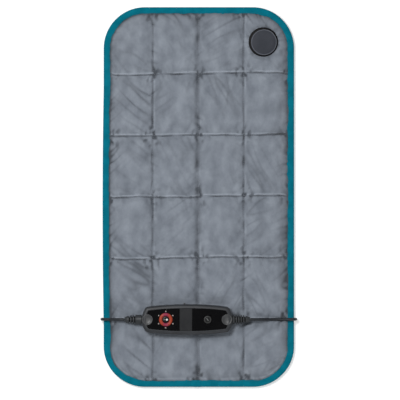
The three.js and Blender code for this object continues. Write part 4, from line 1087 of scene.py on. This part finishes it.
stitch_pitch = 3.6 * MM
seam_stitches = bmesh.new()
for across, lines, reach in (((0, 1, 0), seams_x, pad_half.y), ((1, 0, 0), seams_y, pad_half.x)):
    direction = Vector(across)
    for line in lines:
        for k in range(round(2 * reach / stitch_pitch)):
            along = -reach + (k + 0.5) * stitch_pitch
            x, y = (line, along) if direction.y else (along, line)
            under_body = abs(x - body_centre.x) < body_half.x and abs(y - body_centre.y) < body_half.y
            if past_binding(x, y) < 1.5 * MM or under_body:
                continue
            z = drop_on(front_skin, x, y)
            if z is not None:
                add_stitch(seam_stitches, Vector((*settled(x, y), z)), direction, 2.7 * MM, 0.5 * MM)
finish_piece(
    "seam_stitches", seam_stitches, [thread("grey_thread", (0.17, 0.19, 0.22), (0.23, 0.25, 0.29))],
    "root",
)
tape_stitches = bmesh.new()
stitch_inset = 8.5 * MM
stitch_corner = pad_corner - stitch_inset
stitch_bend = stitch_corner * math.pi / 2
stitch_quarter = corner_x + corner_y + stitch_bend
for k in range(round(4 * stitch_quarter / stitch_pitch)):
    along = (k * stitch_pitch) % stitch_quarter
    if along < corner_x:
        x, y, heading = along, pad_half.y - stitch_inset, Vector((1, 0, 0))
    elif along < corner_x + stitch_bend:
        turn = (along - corner_x) / stitch_corner
        x = corner_x + stitch_corner * math.sin(turn)
        y = corner_y + stitch_corner * math.cos(turn)
        heading = Vector((math.cos(turn), -math.sin(turn), 0))
    else:
        x = pad_half.x - stitch_inset
        y = corner_y - (along - corner_x - stitch_bend)
        heading = Vector((0, 1, 0))
    quarter_number = int(k * stitch_pitch // stitch_quarter)
    flip_x = 1 if quarter_number in (0, 3) else -1
    flip_y = 1 if quarter_number in (0, 1) else -1
    x, y = bowed(x * flip_x, y * flip_y)
    heading = Vector((heading.x * flip_x, heading.y * flip_y, 0))
    z = drop_on(tape_skin, x, y)
    if z is not None:
        add_stitch(tape_stitches, Vector((x, y, z + 0.05 * MM)), heading, 2.6 * MM, 0.45 * MM)
finish_piece(
    "tape_stitches", tape_stitches, [thread("teal_thread", (0.004, 0.10, 0.14), (0.006, 0.13, 0.18))],
    "root",
)


# Round housing: a black flanged base that clamps the pad, and a charcoal cap that snaps into it. Both
# are turned mouldings. The lower half, the terminal block and the screws keep their CAD bodies.
def rounded_edge(radius, along, size, steps=4, outside=True):
    """Points of a quarter round from a face (at along) to a wall (at radius)."""
    way = 1 if outside else -1
    turns = [math.pi / 2 * step / steps for step in range(steps + 1)]
    return [(radius - size + size * math.sin(t), along + (size * math.cos(t) - size) * way) for t in turns]


base_bore = 10.5 * MM
flange_low = 17.3 * MM
flange_high = 20.3 * MM
barrel_radius = 15.5 * MM
base_profile = [(base_bore, flange_high)] + rounded_edge(flange_radius, flange_high, 0.9 * MM)
base_profile += list(reversed(rounded_edge(flange_radius, flange_low, 0.4 * MM, 3, False)))
base_profile += [(barrel_radius, flange_low), (barrel_radius, housing_low.z), (base_bore, housing_low.z)]
base_profile += [base_profile[0]]
base_plate = turned_form(base_profile, (housing_x, housing_y, 0), (0, 0, 1), 96)
# Near-black plastic for the base; the boots take it in their grooves as painted shade.
black_and_groove_shade = moulded_plastic(
    "near_black_groove_shade", (0.0025, 0.0025, 0.0028), (0.0036, 0.0036, 0.0040), 0.5, 700, 0.02 * MM,
    specular=0.1,
)
finish_piece("housing_base", base_plate, [black_and_groove_shade], "root", ["connector_base"], 35)

cap_low, cap_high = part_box("connector_cap")
cap_x = (cap_low.x + cap_high.x) / 2
cap_y = (cap_low.y + cap_high.y) / 2
cap_radius = (cap_high.x - cap_low.x) / 2
cap_top = cap_high.z
cap_under = 20.6 * MM
spigot_radius = 9 * MM
chamfer_from = cap_radius - 1.9 * MM
chamfer_to = cap_radius - 0.5 * MM
cap_profile = [
    (0, cap_top - 0.15 * MM), (cap_radius * 0.6, cap_top - 0.1 * MM), (chamfer_from - 0.5 * MM, cap_top),
    (chamfer_from, cap_top - 0.1 * MM), (chamfer_to - 0.4 * MM, cap_top - 0.8 * MM),
    (chamfer_to, cap_top - 1.4 * MM), (chamfer_to + 0.2 * MM, cap_top - 2.2 * MM),
    (chamfer_to + 0.2 * MM, cap_under + 0.15 * MM), (chamfer_to, cap_under), (spigot_radius, cap_under),
    (spigot_radius, cap_low.z), (0, cap_low.z),
]
cap = turned_form(cap_profile, (cap_x, cap_y, 0), (0, 0, 1), 96)
# The chamfer ring takes a lighter second material, a painted highlight round the cap's edge.
for face in cap.faces:
    middle = face.calc_center_median()
    reach = (middle.xy - Vector((cap_x, cap_y))).length
    face.material_index = int(chamfer_from < reach < chamfer_to and middle.z > cap_top - 1.6 * MM)
charcoal = moulded_plastic(
    "charcoal_plastic", (0.028, 0.032, 0.042), (0.036, 0.040, 0.052), 0.55, 1100, 0.03 * MM, specular=0.18,
)
# Lighter chamfer material: a painted highlight.
chamfer_highlight = moulded_plastic(
    "chamfer_painted_highlight", (0.085, 0.093, 0.115), (0.105, 0.114, 0.138), 0.4, 600, 0.01 * MM,
)
finish_piece("housing_cap", cap, [charcoal, chamfer_highlight], "root", ["connector_cap"], 30)


def grooved_relief(root, turn_axis, length, radius, tip, neck, first, last, grooves, groove_depth):
    """A soft moulded relief: a cone towards the cord with round-edged grooves cut into it."""
    def radius_at(along):
        return radius + (tip - radius) * (along / length) ** 3
    neck_radius, neck_length = neck
    profile = [
        (0, -neck_length), (neck_radius, -neck_length), (neck_radius, 0.3 * MM),
        (radius - 0.4 * MM, 0.3 * MM), (radius, 0.7 * MM),
    ]
    pitch = (last - first) / grooves
    for k in range(grooves):
        start = first + k * pitch
        end = start + pitch * 0.46
        for along, cut, shift in (
            (start - 0.35 * MM, 0, 0), (start, 0.15 * MM, 0), (start, groove_depth, 0.2 * MM),
            (end, groove_depth, -0.2 * MM), (end, 0.15 * MM, 0), (end + 0.35 * MM, 0, 0),
        ):
            profile.append((radius_at(along) - cut, along + shift))
    for share in (0.86, 0.93):
        profile.append((radius_at(share * length), share * length))
    profile += [(tip + 0.05 * MM, length - 0.4 * MM), (tip - 0.4 * MM, length), (0, length)]
    relief = turned_form(profile, root, turn_axis, 48)
    turn_axis = Vector(turn_axis)
    # Faces deep in the grooves take the second material: painted shade in the grooves.
    for face in relief.faces:
        from_root = face.calc_center_median() - Vector(root)
        along = from_root.dot(turn_axis)
        in_groove = first - 0.5 * MM < along < last
        face.material_index = int(
            in_groove and (from_root - turn_axis * along).length < radius_at(along) - 0.45 * groove_depth,
        )
    return relief


soft_black = moulded_plastic(
    "soft_black_pvc", (0.025, 0.028, 0.031), (0.034, 0.037, 0.041), 0.45, 800, 0.03 * MM, specular=0.35,
)
lead_angle = math.radians(240)
lead_axis = Vector((math.cos(lead_angle), math.sin(lead_angle), 0))
lead_root = Vector((housing_x, housing_y, 6 * MM)) + lead_axis * 22.1 * MM
lead_relief = grooved_relief(
    root=lead_root, turn_axis=lead_axis, length=19.9 * MM, radius=4.6 * MM, tip=3.3 * MM,
    neck=(2.6 * MM, 4 * MM), first=6 * MM, last=16 * MM, grooves=4, groove_depth=0.8 * MM,
)
finish_piece(
    "pad_lead_boot", lead_relief, [soft_black, black_and_groove_shade], "root", ["pad_lead_relief"], 35,
)


# Controller shells: two charcoal ABS mouldings that meet at a fine parting line. The outline is a
# slightly bulged bar with blunt ends, and its edges are rolled over above and below.
body_low = 17.8 * MM
body_top = 41.8 * MM
outline_shares = [(1, 0.3), (0.93, 0.74), (0.905, 0.8), (0.86, 0.84), (0.65, 0.915), (0.35, 0.975)]
quarter_corners = [Vector((u * body_half.x, v * body_half.y)) for u, v in outline_shares]
body_corners = quarter_corners + [Vector((0, body_half.y))]
body_corners += [Vector((-p.x, p.y)) for p in reversed(quarter_corners)]
body_corners += [Vector((-p.x, -p.y)) for p in quarter_corners] + [Vector((0, -body_half.y))]
body_corners += [Vector((p.x, -p.y)) for p in reversed(quarter_corners)]
outline_points = 240


def body_outline(distance):
    """The body's outline moved in by a distance, with soft corners, as evenly spaced points."""
    sheet = bmesh.new()
    bmesh.ops.create_grid(sheet, x_segments=1, y_segments=1, size=0.1)
    for a, b in zip(body_corners, body_corners[1:] + body_corners[:1]):
        outward = Vector((b.y - a.y, a.x - b.x, 0)).normalized()
        bmesh.ops.bisect_plane(
            sheet, geom=sheet.verts[:] + sheet.edges[:] + sheet.faces[:],
            plane_co=a.to_3d() - outward * distance, plane_no=outward, clear_outer=True,
        )
    corners = [v.co.xy for v in max(sheet.faces, key=lambda f: f.calc_area()).verts]
    sheet.free()
    for cut in range(4):
        softer = []
        for a, b in zip(corners, corners[1:] + corners[:1]):
            softer += [a.lerp(b, 0.25), a.lerp(b, 0.75)] if (b - a).length > 0.5 * MM else [a.lerp(b, 0.5)]
        corners = softer
    first = min(corners, key=lambda corner: (corner.x < 0, corner.y < -0.01 * MM, corner.y))
    start = corners.index(first)
    corners = corners[start:] + corners[:start + 1]
    steps = [(b - a).length for a, b in zip(corners, corners[1:])]
    spacing = sum(steps) / outline_points
    points = []
    walked = 0
    for a, b, step in zip(corners, corners[1:], steps):
        while len(points) * spacing <= walked + step and len(points) < outline_points:
            points.append(a.lerp(b, (len(points) * spacing - walked) / step))
        walked += step
    return [point + body_centre for point in points]


def circle_at(form, x, y, radius, z, steps=48):
    place = Matrix.Translation((x, y, z))
    made = bmesh.ops.create_circle(form, segments=steps, radius=radius, matrix=place)
    return list({e for v in made["verts"] for e in v.link_edges})


def stack_loops(form, profile):
    """Joins outline rings, one for each pair of inset and height, into a wall. Gives its two rims."""
    rings = [[form.verts.new((*point, z)) for point in body_outline(inset)] for inset, z in profile]
    for low, high in zip(rings, rings[1:]):
        for corners in zip(low, low[1:] + low[:1], high[1:] + high[:1], high):
            form.faces.new(corners)
    rims = (rings[0], rings[-1])
    return [[form.edges.get(pair) for pair in zip(ring, ring[1:] + ring[:1])] for ring in rims]


roll_width = 5 * MM
roll_height = 3.6 * MM


def rolled_edge(face, wall_side, steps=6):
    """Inset and height pairs of a body edge that rolls from the wall to the face."""
    turns = [math.pi / 2 * step / steps for step in range(steps + 1)]
    return [
        (roll_width * (1 - math.cos(t)), face + wall_side * roll_height * (1 - math.sin(t))) for t in turns
    ]


panel_low = 40.2 * MM
recess_inset = 6.1 * MM
plate_inset = 6.3 * MM
deck_high = 39.9 * MM
deck_low = 37.4 * MM
level_x = body_centre.x - 34.2 * MM
power_x = body_centre.x + 32.6 * MM
body_y = body_centre.y
key_holes = [(level_x, 5.65 * MM), (power_x, 6.8 * MM)]

shell_wall = 2.2 * MM
parting_low = 28.8 * MM
parting_high = 29.1 * MM
parting_nick = 0.3 * MM
lip_inset = 0.25 * MM
lower_shell = bmesh.new()
inner, outer = stack_loops(lower_shell, [
    (4.6 * MM, 20 * MM), (shell_wall, 21.6 * MM), (shell_wall, parting_low), (lip_inset, parting_low),
    (0, parting_low - parting_nick),
] + rolled_edge(body_low, 1))
bmesh.ops.edgeloop_fill(lower_shell, edges=inner)
bmesh.ops.edgeloop_fill(lower_shell, edges=outer)
bmesh.ops.remove_doubles(lower_shell, verts=lower_shell.verts[:], dist=0.001 * MM)
bmesh.ops.recalc_face_normals(lower_shell, faces=lower_shell.faces[:])
shell_plastic = moulded_plastic(
    "shell_plastic", (0.023, 0.025, 0.029), (0.030, 0.033, 0.038), 0.45, 1300, 0.02 * MM, specular=0.35,
)
finish_piece(
    "lower_shell", lower_shell, [shell_plastic], "root", ["controller_lower_shell"], 30,
)

upper_shell = bmesh.new()
inner, outer = stack_loops(upper_shell, [
    (shell_wall, deck_low), (shell_wall, parting_high), (lip_inset, parting_high),
    (0, parting_high + parting_nick),
] + rolled_edge(body_top, -1) + [
    (5.8 * MM, body_top), (recess_inset, body_top - 0.3 * MM), (recess_inset, deck_high),
])
low_holes = [circle_at(upper_shell, x, body_y, radius, deck_low) for x, radius in key_holes]
high_holes = [circle_at(upper_shell, x, body_y, radius, deck_high) for x, radius in key_holes]
for low, high in zip(low_holes, high_holes):
    bmesh.ops.bridge_loops(upper_shell, edges=low + high)
bmesh.ops.triangle_fill(upper_shell, edges=inner + low_holes[0] + low_holes[1], use_beauty=True)
bmesh.ops.triangle_fill(upper_shell, edges=outer + high_holes[0] + high_holes[1], use_beauty=True)
bmesh.ops.remove_doubles(upper_shell, verts=upper_shell.verts[:], dist=0.001 * MM)

slot_low = Vector((-27.9 * MM, 0, 31.1 * MM))
slot_high = Vector((-13.9 * MM, 0, 35.7 * MM))


def far_wall():
    """The faces of the upper shell's far long side, inside and outside."""
    return [
        f for f in upper_shell.faces
        if f.calc_center_median().y > body_y + 20 * MM and abs(f.normal.y) > 0.7
        and f.calc_center_median().z < deck_low
    ]


for place, way in (
    (slot_low, (1, 0, 0)), (slot_high, (1, 0, 0)), (slot_low, (0, 0, 1)), (slot_high, (0, 0, 1)),
):
    walls = far_wall()
    wall_edges = list({e for f in walls for e in f.edges})
    wall_corners = list({v for f in walls for v in f.verts})
    bmesh.ops.bisect_plane(
        upper_shell, geom=walls + wall_edges + wall_corners, plane_co=place, plane_no=way,
    )
slot_faces = [
    f for f in far_wall()
    if slot_low.x < f.calc_center_median().x < slot_high.x
    and slot_low.z < f.calc_center_median().z < slot_high.z
]
bmesh.ops.delete(upper_shell, geom=slot_faces, context="FACES")
slot_rim = [e for e in upper_shell.edges if e.is_boundary]
bmesh.ops.bridge_loops(upper_shell, edges=slot_rim)
bmesh.ops.recalc_face_normals(upper_shell, faces=upper_shell.faces[:])
boss_reach = 63.5 * MM
boss_radius = 8.5 * MM
for side in (-1, 1):
    boss = turned_form(
        [(0, 39 * MM), (boss_radius, 39 * MM)]
        + list(reversed(rounded_edge(boss_radius, body_top + 0.05 * MM, 0.7 * MM)))
        + [(6.9 * MM, body_top - 0.05 * MM), (6.3 * MM, body_top - 0.45 * MM),
           (3 * MM, body_top - 0.75 * MM), (0, body_top - 0.8 * MM)],
        (body_centre.x + side * boss_reach, body_y, 0), (0, 0, 1), 64,
    )
    for face in boss.faces:
        face.material_index = 1
    add_form(upper_shell, boss)
# The boss tops are coloured lighter and a little smoother than the shell.
lighter_boss_tone = moulded_plastic(
    "lighter_boss_tone", (0.036, 0.038, 0.041), (0.050, 0.052, 0.055), 0.4, 1100, 0.02 * MM,
)
finish_piece(
    "upper_shell", upper_shell, [shell_plastic, lighter_boss_tone], "root",
    ["controller_upper_shell"], 30,
)


# Gloss panels and centre band: the face between the bosses. Two polished black panels are let into
# the shell, with a matte ribbed band between them.
band_from = body_centre.x - 12.1 * MM
band_to = body_centre.x + 8.1 * MM
panel_gap = 0.3 * MM


def face_plate(from_x, to_x, holes, high, edge):
    """A flat plate in the shell's recess between two cross lines, with holes and a soft edge."""
    form = bmesh.new()
    clear = boss_radius + panel_gap
    ring = []
    for point in body_outline(plate_inset):
        side = math.copysign(1, point.x - body_centre.x)
        centre = body_centre.x + side * boss_reach
        dy = point.y - body_y
        if abs(dy) < clear:
            inner_x = centre - side * math.sqrt(clear ** 2 - dy ** 2)
            if (point.x - inner_x) * side > 0:
                point = Vector((inner_x, point.y))
        ring.append(form.verts.new((*point, panel_low)))
    edges = [form.edges.new(pair) for pair in zip(ring, ring[1:] + ring[:1])]
    for x, y, radius, steps in holes:
        edges += circle_at(form, x, y, radius, panel_low, steps)
    bmesh.ops.triangle_fill(form, edges=edges, use_beauty=True)
    for x, way in ((from_x, -1), (to_x, 1)):
        bmesh.ops.bisect_plane(
            form, geom=form.verts[:] + form.edges[:] + form.faces[:], plane_co=(x, 0, 0),
            plane_no=(way, 0, 0), clear_outer=True,
        )
    lifted = bmesh.ops.extrude_face_region(form, geom=form.faces[:], use_keep_orig=True)["geom"]
    top_corners = {v for v in lifted if isinstance(v, bmesh.types.BMVert)}
    bmesh.ops.translate(form, verts=list(top_corners), vec=(0, 0, high - edge - panel_low))
    top = [f for f in form.faces if all(v in top_corners for v in f.verts)]
    bmesh.ops.inset_region(form, faces=top, thickness=edge, use_even_offset=True)
    for face in top:
        for vertex in face.verts:
            vertex.co.z = high
    bmesh.ops.recalc_face_normals(form, faces=form.faces[:])
    return form


light_circle = 13.1 * MM
light_angles = [math.radians(90 + 60 * k) for k in range(6)]
light_places = [
    (level_x + light_circle * math.cos(angle), body_y + light_circle * math.sin(angle))
    for angle in light_angles
]
left_holes = [(level_x, body_y, 11 * MM, 72)] + [(x, y, 1.25 * MM, 16) for x, y in light_places]
gloss_black = moulded_plastic(
    "gloss_black", (0.0042, 0.0042, 0.0048), (0.0050, 0.0050, 0.0056), 0.10, 40, 0.01 * MM, 0.6,
)
far_left = body_centre.x - body_half.x
far_right = body_centre.x + body_half.x
finish_piece(
    "left_gloss_panel", face_plate(far_left, band_from - panel_gap, left_holes, body_top, 0.25 * MM),
    [gloss_black], "root", ["left_panel"], 30,
)
finish_piece(
    "right_gloss_panel",
    face_plate(band_to + panel_gap, far_right, [(power_x, body_y, 6.8 * MM, 64)], body_top, 0.25 * MM),
    [gloss_black], "root", ["right_panel"], 30,
)

band_top = 42.2 * MM
band = face_plate(band_from, band_to, [], band_top, 0.3 * MM)
rib_pitch = 1.44 * MM
rib_count = 14
groove_size = 0.28 * MM
groove_lines = [band_from + (k + 0.5) * rib_pitch for k in range(rib_count)]
for line in groove_lines:
    for shift in (-groove_size, 0, groove_size):
        bmesh.ops.bisect_plane(
            band, geom=band.verts[:] + band.edges[:] + band.faces[:],
            plane_co=(line + shift, 0, 0), plane_no=(1, 0, 0),
        )
for vertex in band.verts:
    nearest = min(abs(vertex.co.x - line) for line in groove_lines)
    if nearest < 0.05 * MM and vertex.co.z > band_top - 0.05 * MM:
        vertex.co.z -= groove_size
matte_band = moulded_plastic(
    "matte_band", (0.023, 0.024, 0.026), (0.030, 0.031, 0.033), 0.6, 900, 0.04 * MM, specular=0.15,
)
finish_piece("ribbed_band", band, [matte_band], "root", ["centre_band"], 25)


# Light ring: a translucent red ring round the level key, lit from inside. It is brighter and more
# orange at its two sides, where the lamps under it sit.
ring_outer = 10.7 * MM
ring_inner = 5.65 * MM
ring_top = 42.8 * MM
ring_profile = [(ring_inner, panel_low), (ring_outer, panel_low), (ring_outer, ring_top - 1.6 * MM)]
ring_profile += [
    (ring_outer - 0.25 * MM, ring_top - 0.9 * MM), (ring_outer - 0.9 * MM, ring_top - 0.3 * MM),
    (ring_outer - 2.1 * MM, ring_top), (ring_inner + 1.6 * MM, ring_top - 0.05 * MM),
    (ring_inner + 0.7 * MM, ring_top - 0.4 * MM), (ring_inner + 0.1 * MM, ring_top - 1 * MM),
    (ring_inner, panel_low),
]
ring_form = turned_form(ring_profile, (level_x, body_y, 0), (0, 0, 1), 96)
lit_red, shader, tree, links = new_material("lit_red_ring", {
    "Roughness": 0.35, "Specular IOR Level": 0.2, "Emission Strength": 0.2,
})
coordinates = add_node(tree, "TexCoord")
centred = add_node(tree, "Mapping", {"Location": (-level_x, -body_y, 0)})
parts = add_node(tree, "SeparateXYZ")
sideways = add_node(tree, "Math")
sideways.operation = "ABSOLUTE"
spread = add_node(tree, "MapRange", {"From Min": 1.5 * MM, "From Max": 6.5 * MM})
links.new(coordinates.outputs["Object"], centred.inputs["Vector"])
links.new(centred.outputs["Vector"], parts.inputs["Vector"])
links.new(parts.outputs["X"], sideways.inputs[0])
links.new(sideways.outputs["Value"], spread.inputs["Value"])
glow = ramp_mix(tree, links, spread.outputs["Result"], (0.21, 0.018, 0.050), (0.29, 0.040, 0.018))
links.new(glow, shader.inputs["Base Color"])
links.new(glow, shader.inputs["Emission Color"])
finish_piece("red_light_ring", ring_form, [lit_red], "root", ["light_ring"], 40)


# Keys: two polished round keys that are pressed down, each with a stem to its switch under the face.
# A pale lamp mark is printed on the level key, and a ring with a bar on the power key.
key_low = 33.2 * MM
key_top = 43 * MM
stem_radius = 2 * MM
collar_width = 1.5 * MM
collar_low = 35.9 * MM
collar_high = 37.1 * MM


def key_form(x, radius):
    """A domed key with a collar that holds it under the shell, and its stem."""
    return turned_form(
        [(0, key_low), (stem_radius, key_low), (stem_radius, collar_low), (radius + collar_width, collar_low),
         (radius + collar_width, collar_high), (radius, collar_high), (radius, 42.2 * MM),
         (radius - 0.1 * MM, 42.5 * MM), (radius - 0.4 * MM, 42.75 * MM), (radius - 1 * MM, 42.88 * MM),
         (radius * 0.5, 42.97 * MM), (0, key_top)],
        (x, body_y, 0), (0, 0, 1), 72,
    )


key_black = moulded_plastic(
    "key_black", (0.0042, 0.0042, 0.0048), (0.0050, 0.0050, 0.0056), 0.3, 40, 0.01 * MM, specular=0.2,
)
for name, x, radius, body, node in (
    ("level_key_cap", level_x, 5.35 * MM, "level_button", "level_key"),
    ("power_key_cap", power_x, 6.5 * MM, "power_button", "power_key"),
):
    finish_piece(name, key_form(x, radius), [key_black], body, [node], 35)

mark_low = 42.86 * MM
mark_high = 43.03 * MM


def mark_plate(form, x, y, outer, inner):
    """A printed ring or dot, as a very thin raised plate."""
    if inner:
        profile = [(outer, mark_low), (outer, mark_high), (inner, mark_high), (inner, mark_low)]
        profile.append(profile[0])
    else:
        profile = [(0, mark_low), (outer, mark_low), (outer, mark_high), (0, mark_high)]
    return add_form(form, turned_form(profile, (x, y, 0), (0, 0, 1), 40))


def mark_bar(form, x, y, length, width, turn):
    """A printed bar, as a very thin raised plate."""
    low = Vector((-length / 2, -width / 2, mark_low))
    bar = box_form(low, Vector((length / 2, width / 2, mark_high)), 0.05 * MM, 2)
    bmesh.ops.rotate(bar, verts=bar.verts[:], cent=(0, 0, 0), matrix=Matrix.Rotation(turn, 3, "Z"))
    bmesh.ops.translate(bar, verts=bar.verts[:], vec=(x, y, 0))
    return add_form(form, bar)


def printed(name, low, high, glow_strength):
    material = moulded_plastic(name, low, high, 0.5, 900, 0.01 * MM)
    shader = material.node_tree.nodes["Principled BSDF"]
    shader.inputs["Emission Color"].default_value = (*high, 1)
    shader.inputs["Emission Strength"].default_value = glow_strength
    return material


lit_white = printed("lit_white", (0.62, 0.64, 0.62), (0.75, 0.77, 0.75), 0.15)
lamp_white = printed("lamp_white", (0.34, 0.28, 0.27), (0.43, 0.36, 0.34), 0.1)
pale_print = printed("pale_print", (0.13, 0.14, 0.14), (0.18, 0.19, 0.19), 0.0)
dim_print = printed("dim_print", (0.024, 0.026, 0.026), (0.034, 0.036, 0.036), 0.0)
lamp_mark = mark_plate(bmesh.new(), level_x + 1.9 * MM, body_y, 1.5 * MM, 0)
finish_piece("lamp_mark", lamp_mark, [lit_white], "level_button")
lamp_foot = bmesh.new()
for shift, width in ((-0.3, 2.2), (-1.25, 2.2), (-2.2, 2.0), (-3.1, 1.4)):
    mark_bar(lamp_foot, level_x + shift * MM, body_y, 0.6 * MM, width * MM, 0)
finish_piece("lamp_mark_foot", lamp_foot, [pale_print], "level_button")
power_mark = mark_plate(bmesh.new(), power_x, body_y, 5.4 * MM, 4.5 * MM)
finish_piece("power_mark", power_mark, [dim_print], "power_button")
power_bar = bmesh.new()
mark_bar(power_bar, power_x, body_y, 4.6 * MM, 1.1 * MM, math.radians(-55))
finish_piece("power_mark_bar", power_bar, [pale_print], "power_button")


# Level lights: six round posts of one clear moulding, standing in the left panel round the ring.
# They keep their CAD body, and a lit dot finishes each of them.
light_dots = bmesh.new()
for x, y in light_places:
    dot = turned_form(
        [(0, 41.2 * MM), (0.95 * MM, 41.2 * MM), (0.95 * MM, 41.9 * MM), (0.75 * MM, 42.02 * MM),
         (0, 42.1 * MM)],
        (x, y, 0), (0, 0, 1), 20,
    )
    add_form(light_dots, dot)
finish_piece("level_light_dots", light_dots, [lamp_white], "root")


# Power slider: a small ridged black slide in its slot in the far long side, with a tongue that moves
# the slide switch behind it.
slide_low, slide_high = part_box("power_slider")
slide_middle = (slide_low.z + slide_high.z) / 2
slide_x = (slide_low.x + slide_high.x) / 2
wall_face = -170.7 * MM
slide_back = -172.6 * MM
slide = box_form(
    Vector((slide_low.x, slide_back, slide_low.z)), Vector((slide_high.x, wall_face, slide_high.z)),
    0.35 * MM,
)
for shift in (-3, 0, 3):
    reach = slide_high.y + 0.6 * MM if shift == 0 else wall_face + 0.5 * MM
    half = 1.5 * MM if shift == 0 else 0.45 * MM
    add_form(slide, box_form(
        Vector((slide_x + shift * MM - half, -172 * MM, slide_low.z + 0.1 * MM)),
        Vector((slide_x + shift * MM + half, reach, slide_high.z - 0.1 * MM)), 0.3 * MM,
    ))
add_form(slide, box_form(
    Vector((slide_x - 1.5 * MM, slide_low.y, slide_middle - 0.9 * MM)),
    Vector((slide_x + 1.5 * MM, -172.2 * MM, slide_middle + 0.9 * MM)), 0.2 * MM,
))
finish_piece("power_slide", slide, [black_plastic], "slider", ["power_slider"], 35)


# Controller reliefs: soft black boots at both ends of the body, smooth at the root and grooved
# towards the cord, so that the cord bends gently.
relief_z = 28.95 * MM
for name, side, node, first_groove, grooves in (
    ("right_boot", 1, "right_strain_relief", 3.4 * MM, 5),
    ("left_boot", -1, "left_strain_relief", 10.4 * MM, 3),
):
    boot = grooved_relief(
        root=Vector((body_centre.x + side * body_half.x, body_y, relief_z)), turn_axis=(side, 0, 0),
        length=28 * MM, radius=7.6 * MM, tip=3.7 * MM, neck=(5.5 * MM, 4.6 * MM), first=first_groove,
        last=23.2 * MM, grooves=grooves, groove_depth=2.4 * MM,
    )
    finish_piece(name, boot, [soft_black, black_and_groove_shade], "root", [node], 35)


# Inside pieces and metal: felt carrier and heating wire, the board with its parts, switches, screws
# and blades. They keep their CAD bodies and only get their finishes.
def metal(name, colour, roughness):
    material, shader, tree, links = new_material(name, {"Metallic": 1, "Roughness": roughness})
    darker = tuple(0.82 * channel for channel in colour)
    mottle = noise_factor(tree, links, 220)
    links.new(ramp_mix(tree, links, mottle, darker, colour), shader.inputs["Base Color"])
    drawn = noise_factor(tree, links, 900, 2, 0.3, 0.7, (0.1, 1, 1))
    links.new(add_bump(tree, links, drawn, 0.01 * MM), shader.inputs["Normal"])
    return material


inside_finishes = {
    "felt": woven_cloth("pale_felt", (0.60, 0.57, 0.50), (0.70, 0.67, 0.60), 0.8 * MM, 0.08 * MM),
    "heating_wire": moulded_plastic(
        "red_wire_jacket", (0.33, 0.05, 0.03), (0.42, 0.07, 0.04), 0.5, 700, 0.02 * MM,
    ),
    "charcoal": charcoal,
    "black_plastic": black_plastic,
    "board": moulded_plastic(
        "green_board", (0.010, 0.075, 0.035), (0.018, 0.110, 0.050), 0.45, 500, 0.02 * MM, 0.3,
    ),
    "white_plastic": moulded_plastic(
        "white_nylon", (0.60, 0.60, 0.56), (0.70, 0.70, 0.66), 0.5, 700, 0.02 * MM,
    ),
    "white_light": lit_white,
    "amber_film": moulded_plastic(
        "amber_film", (0.40, 0.21, 0.020), (0.50, 0.27, 0.030), 0.35, 400, 0.01 * MM, 0.4,
    ),
    "steel": metal("bright_steel", (0.62, 0.63, 0.64), 0.3),
    "brass": metal("brass", (0.70, 0.52, 0.22), 0.3),
    "plush": plush,
}
for node in nodes:
    node_object = bpy.data.objects.get(node)
    if node_object is None or node_object.type != "MESH":
        continue
    for slot in node_object.material_slots:
        if slot.material is not None and slot.material.name in inside_finishes:
            slot.material = inside_finishes[slot.material.name]
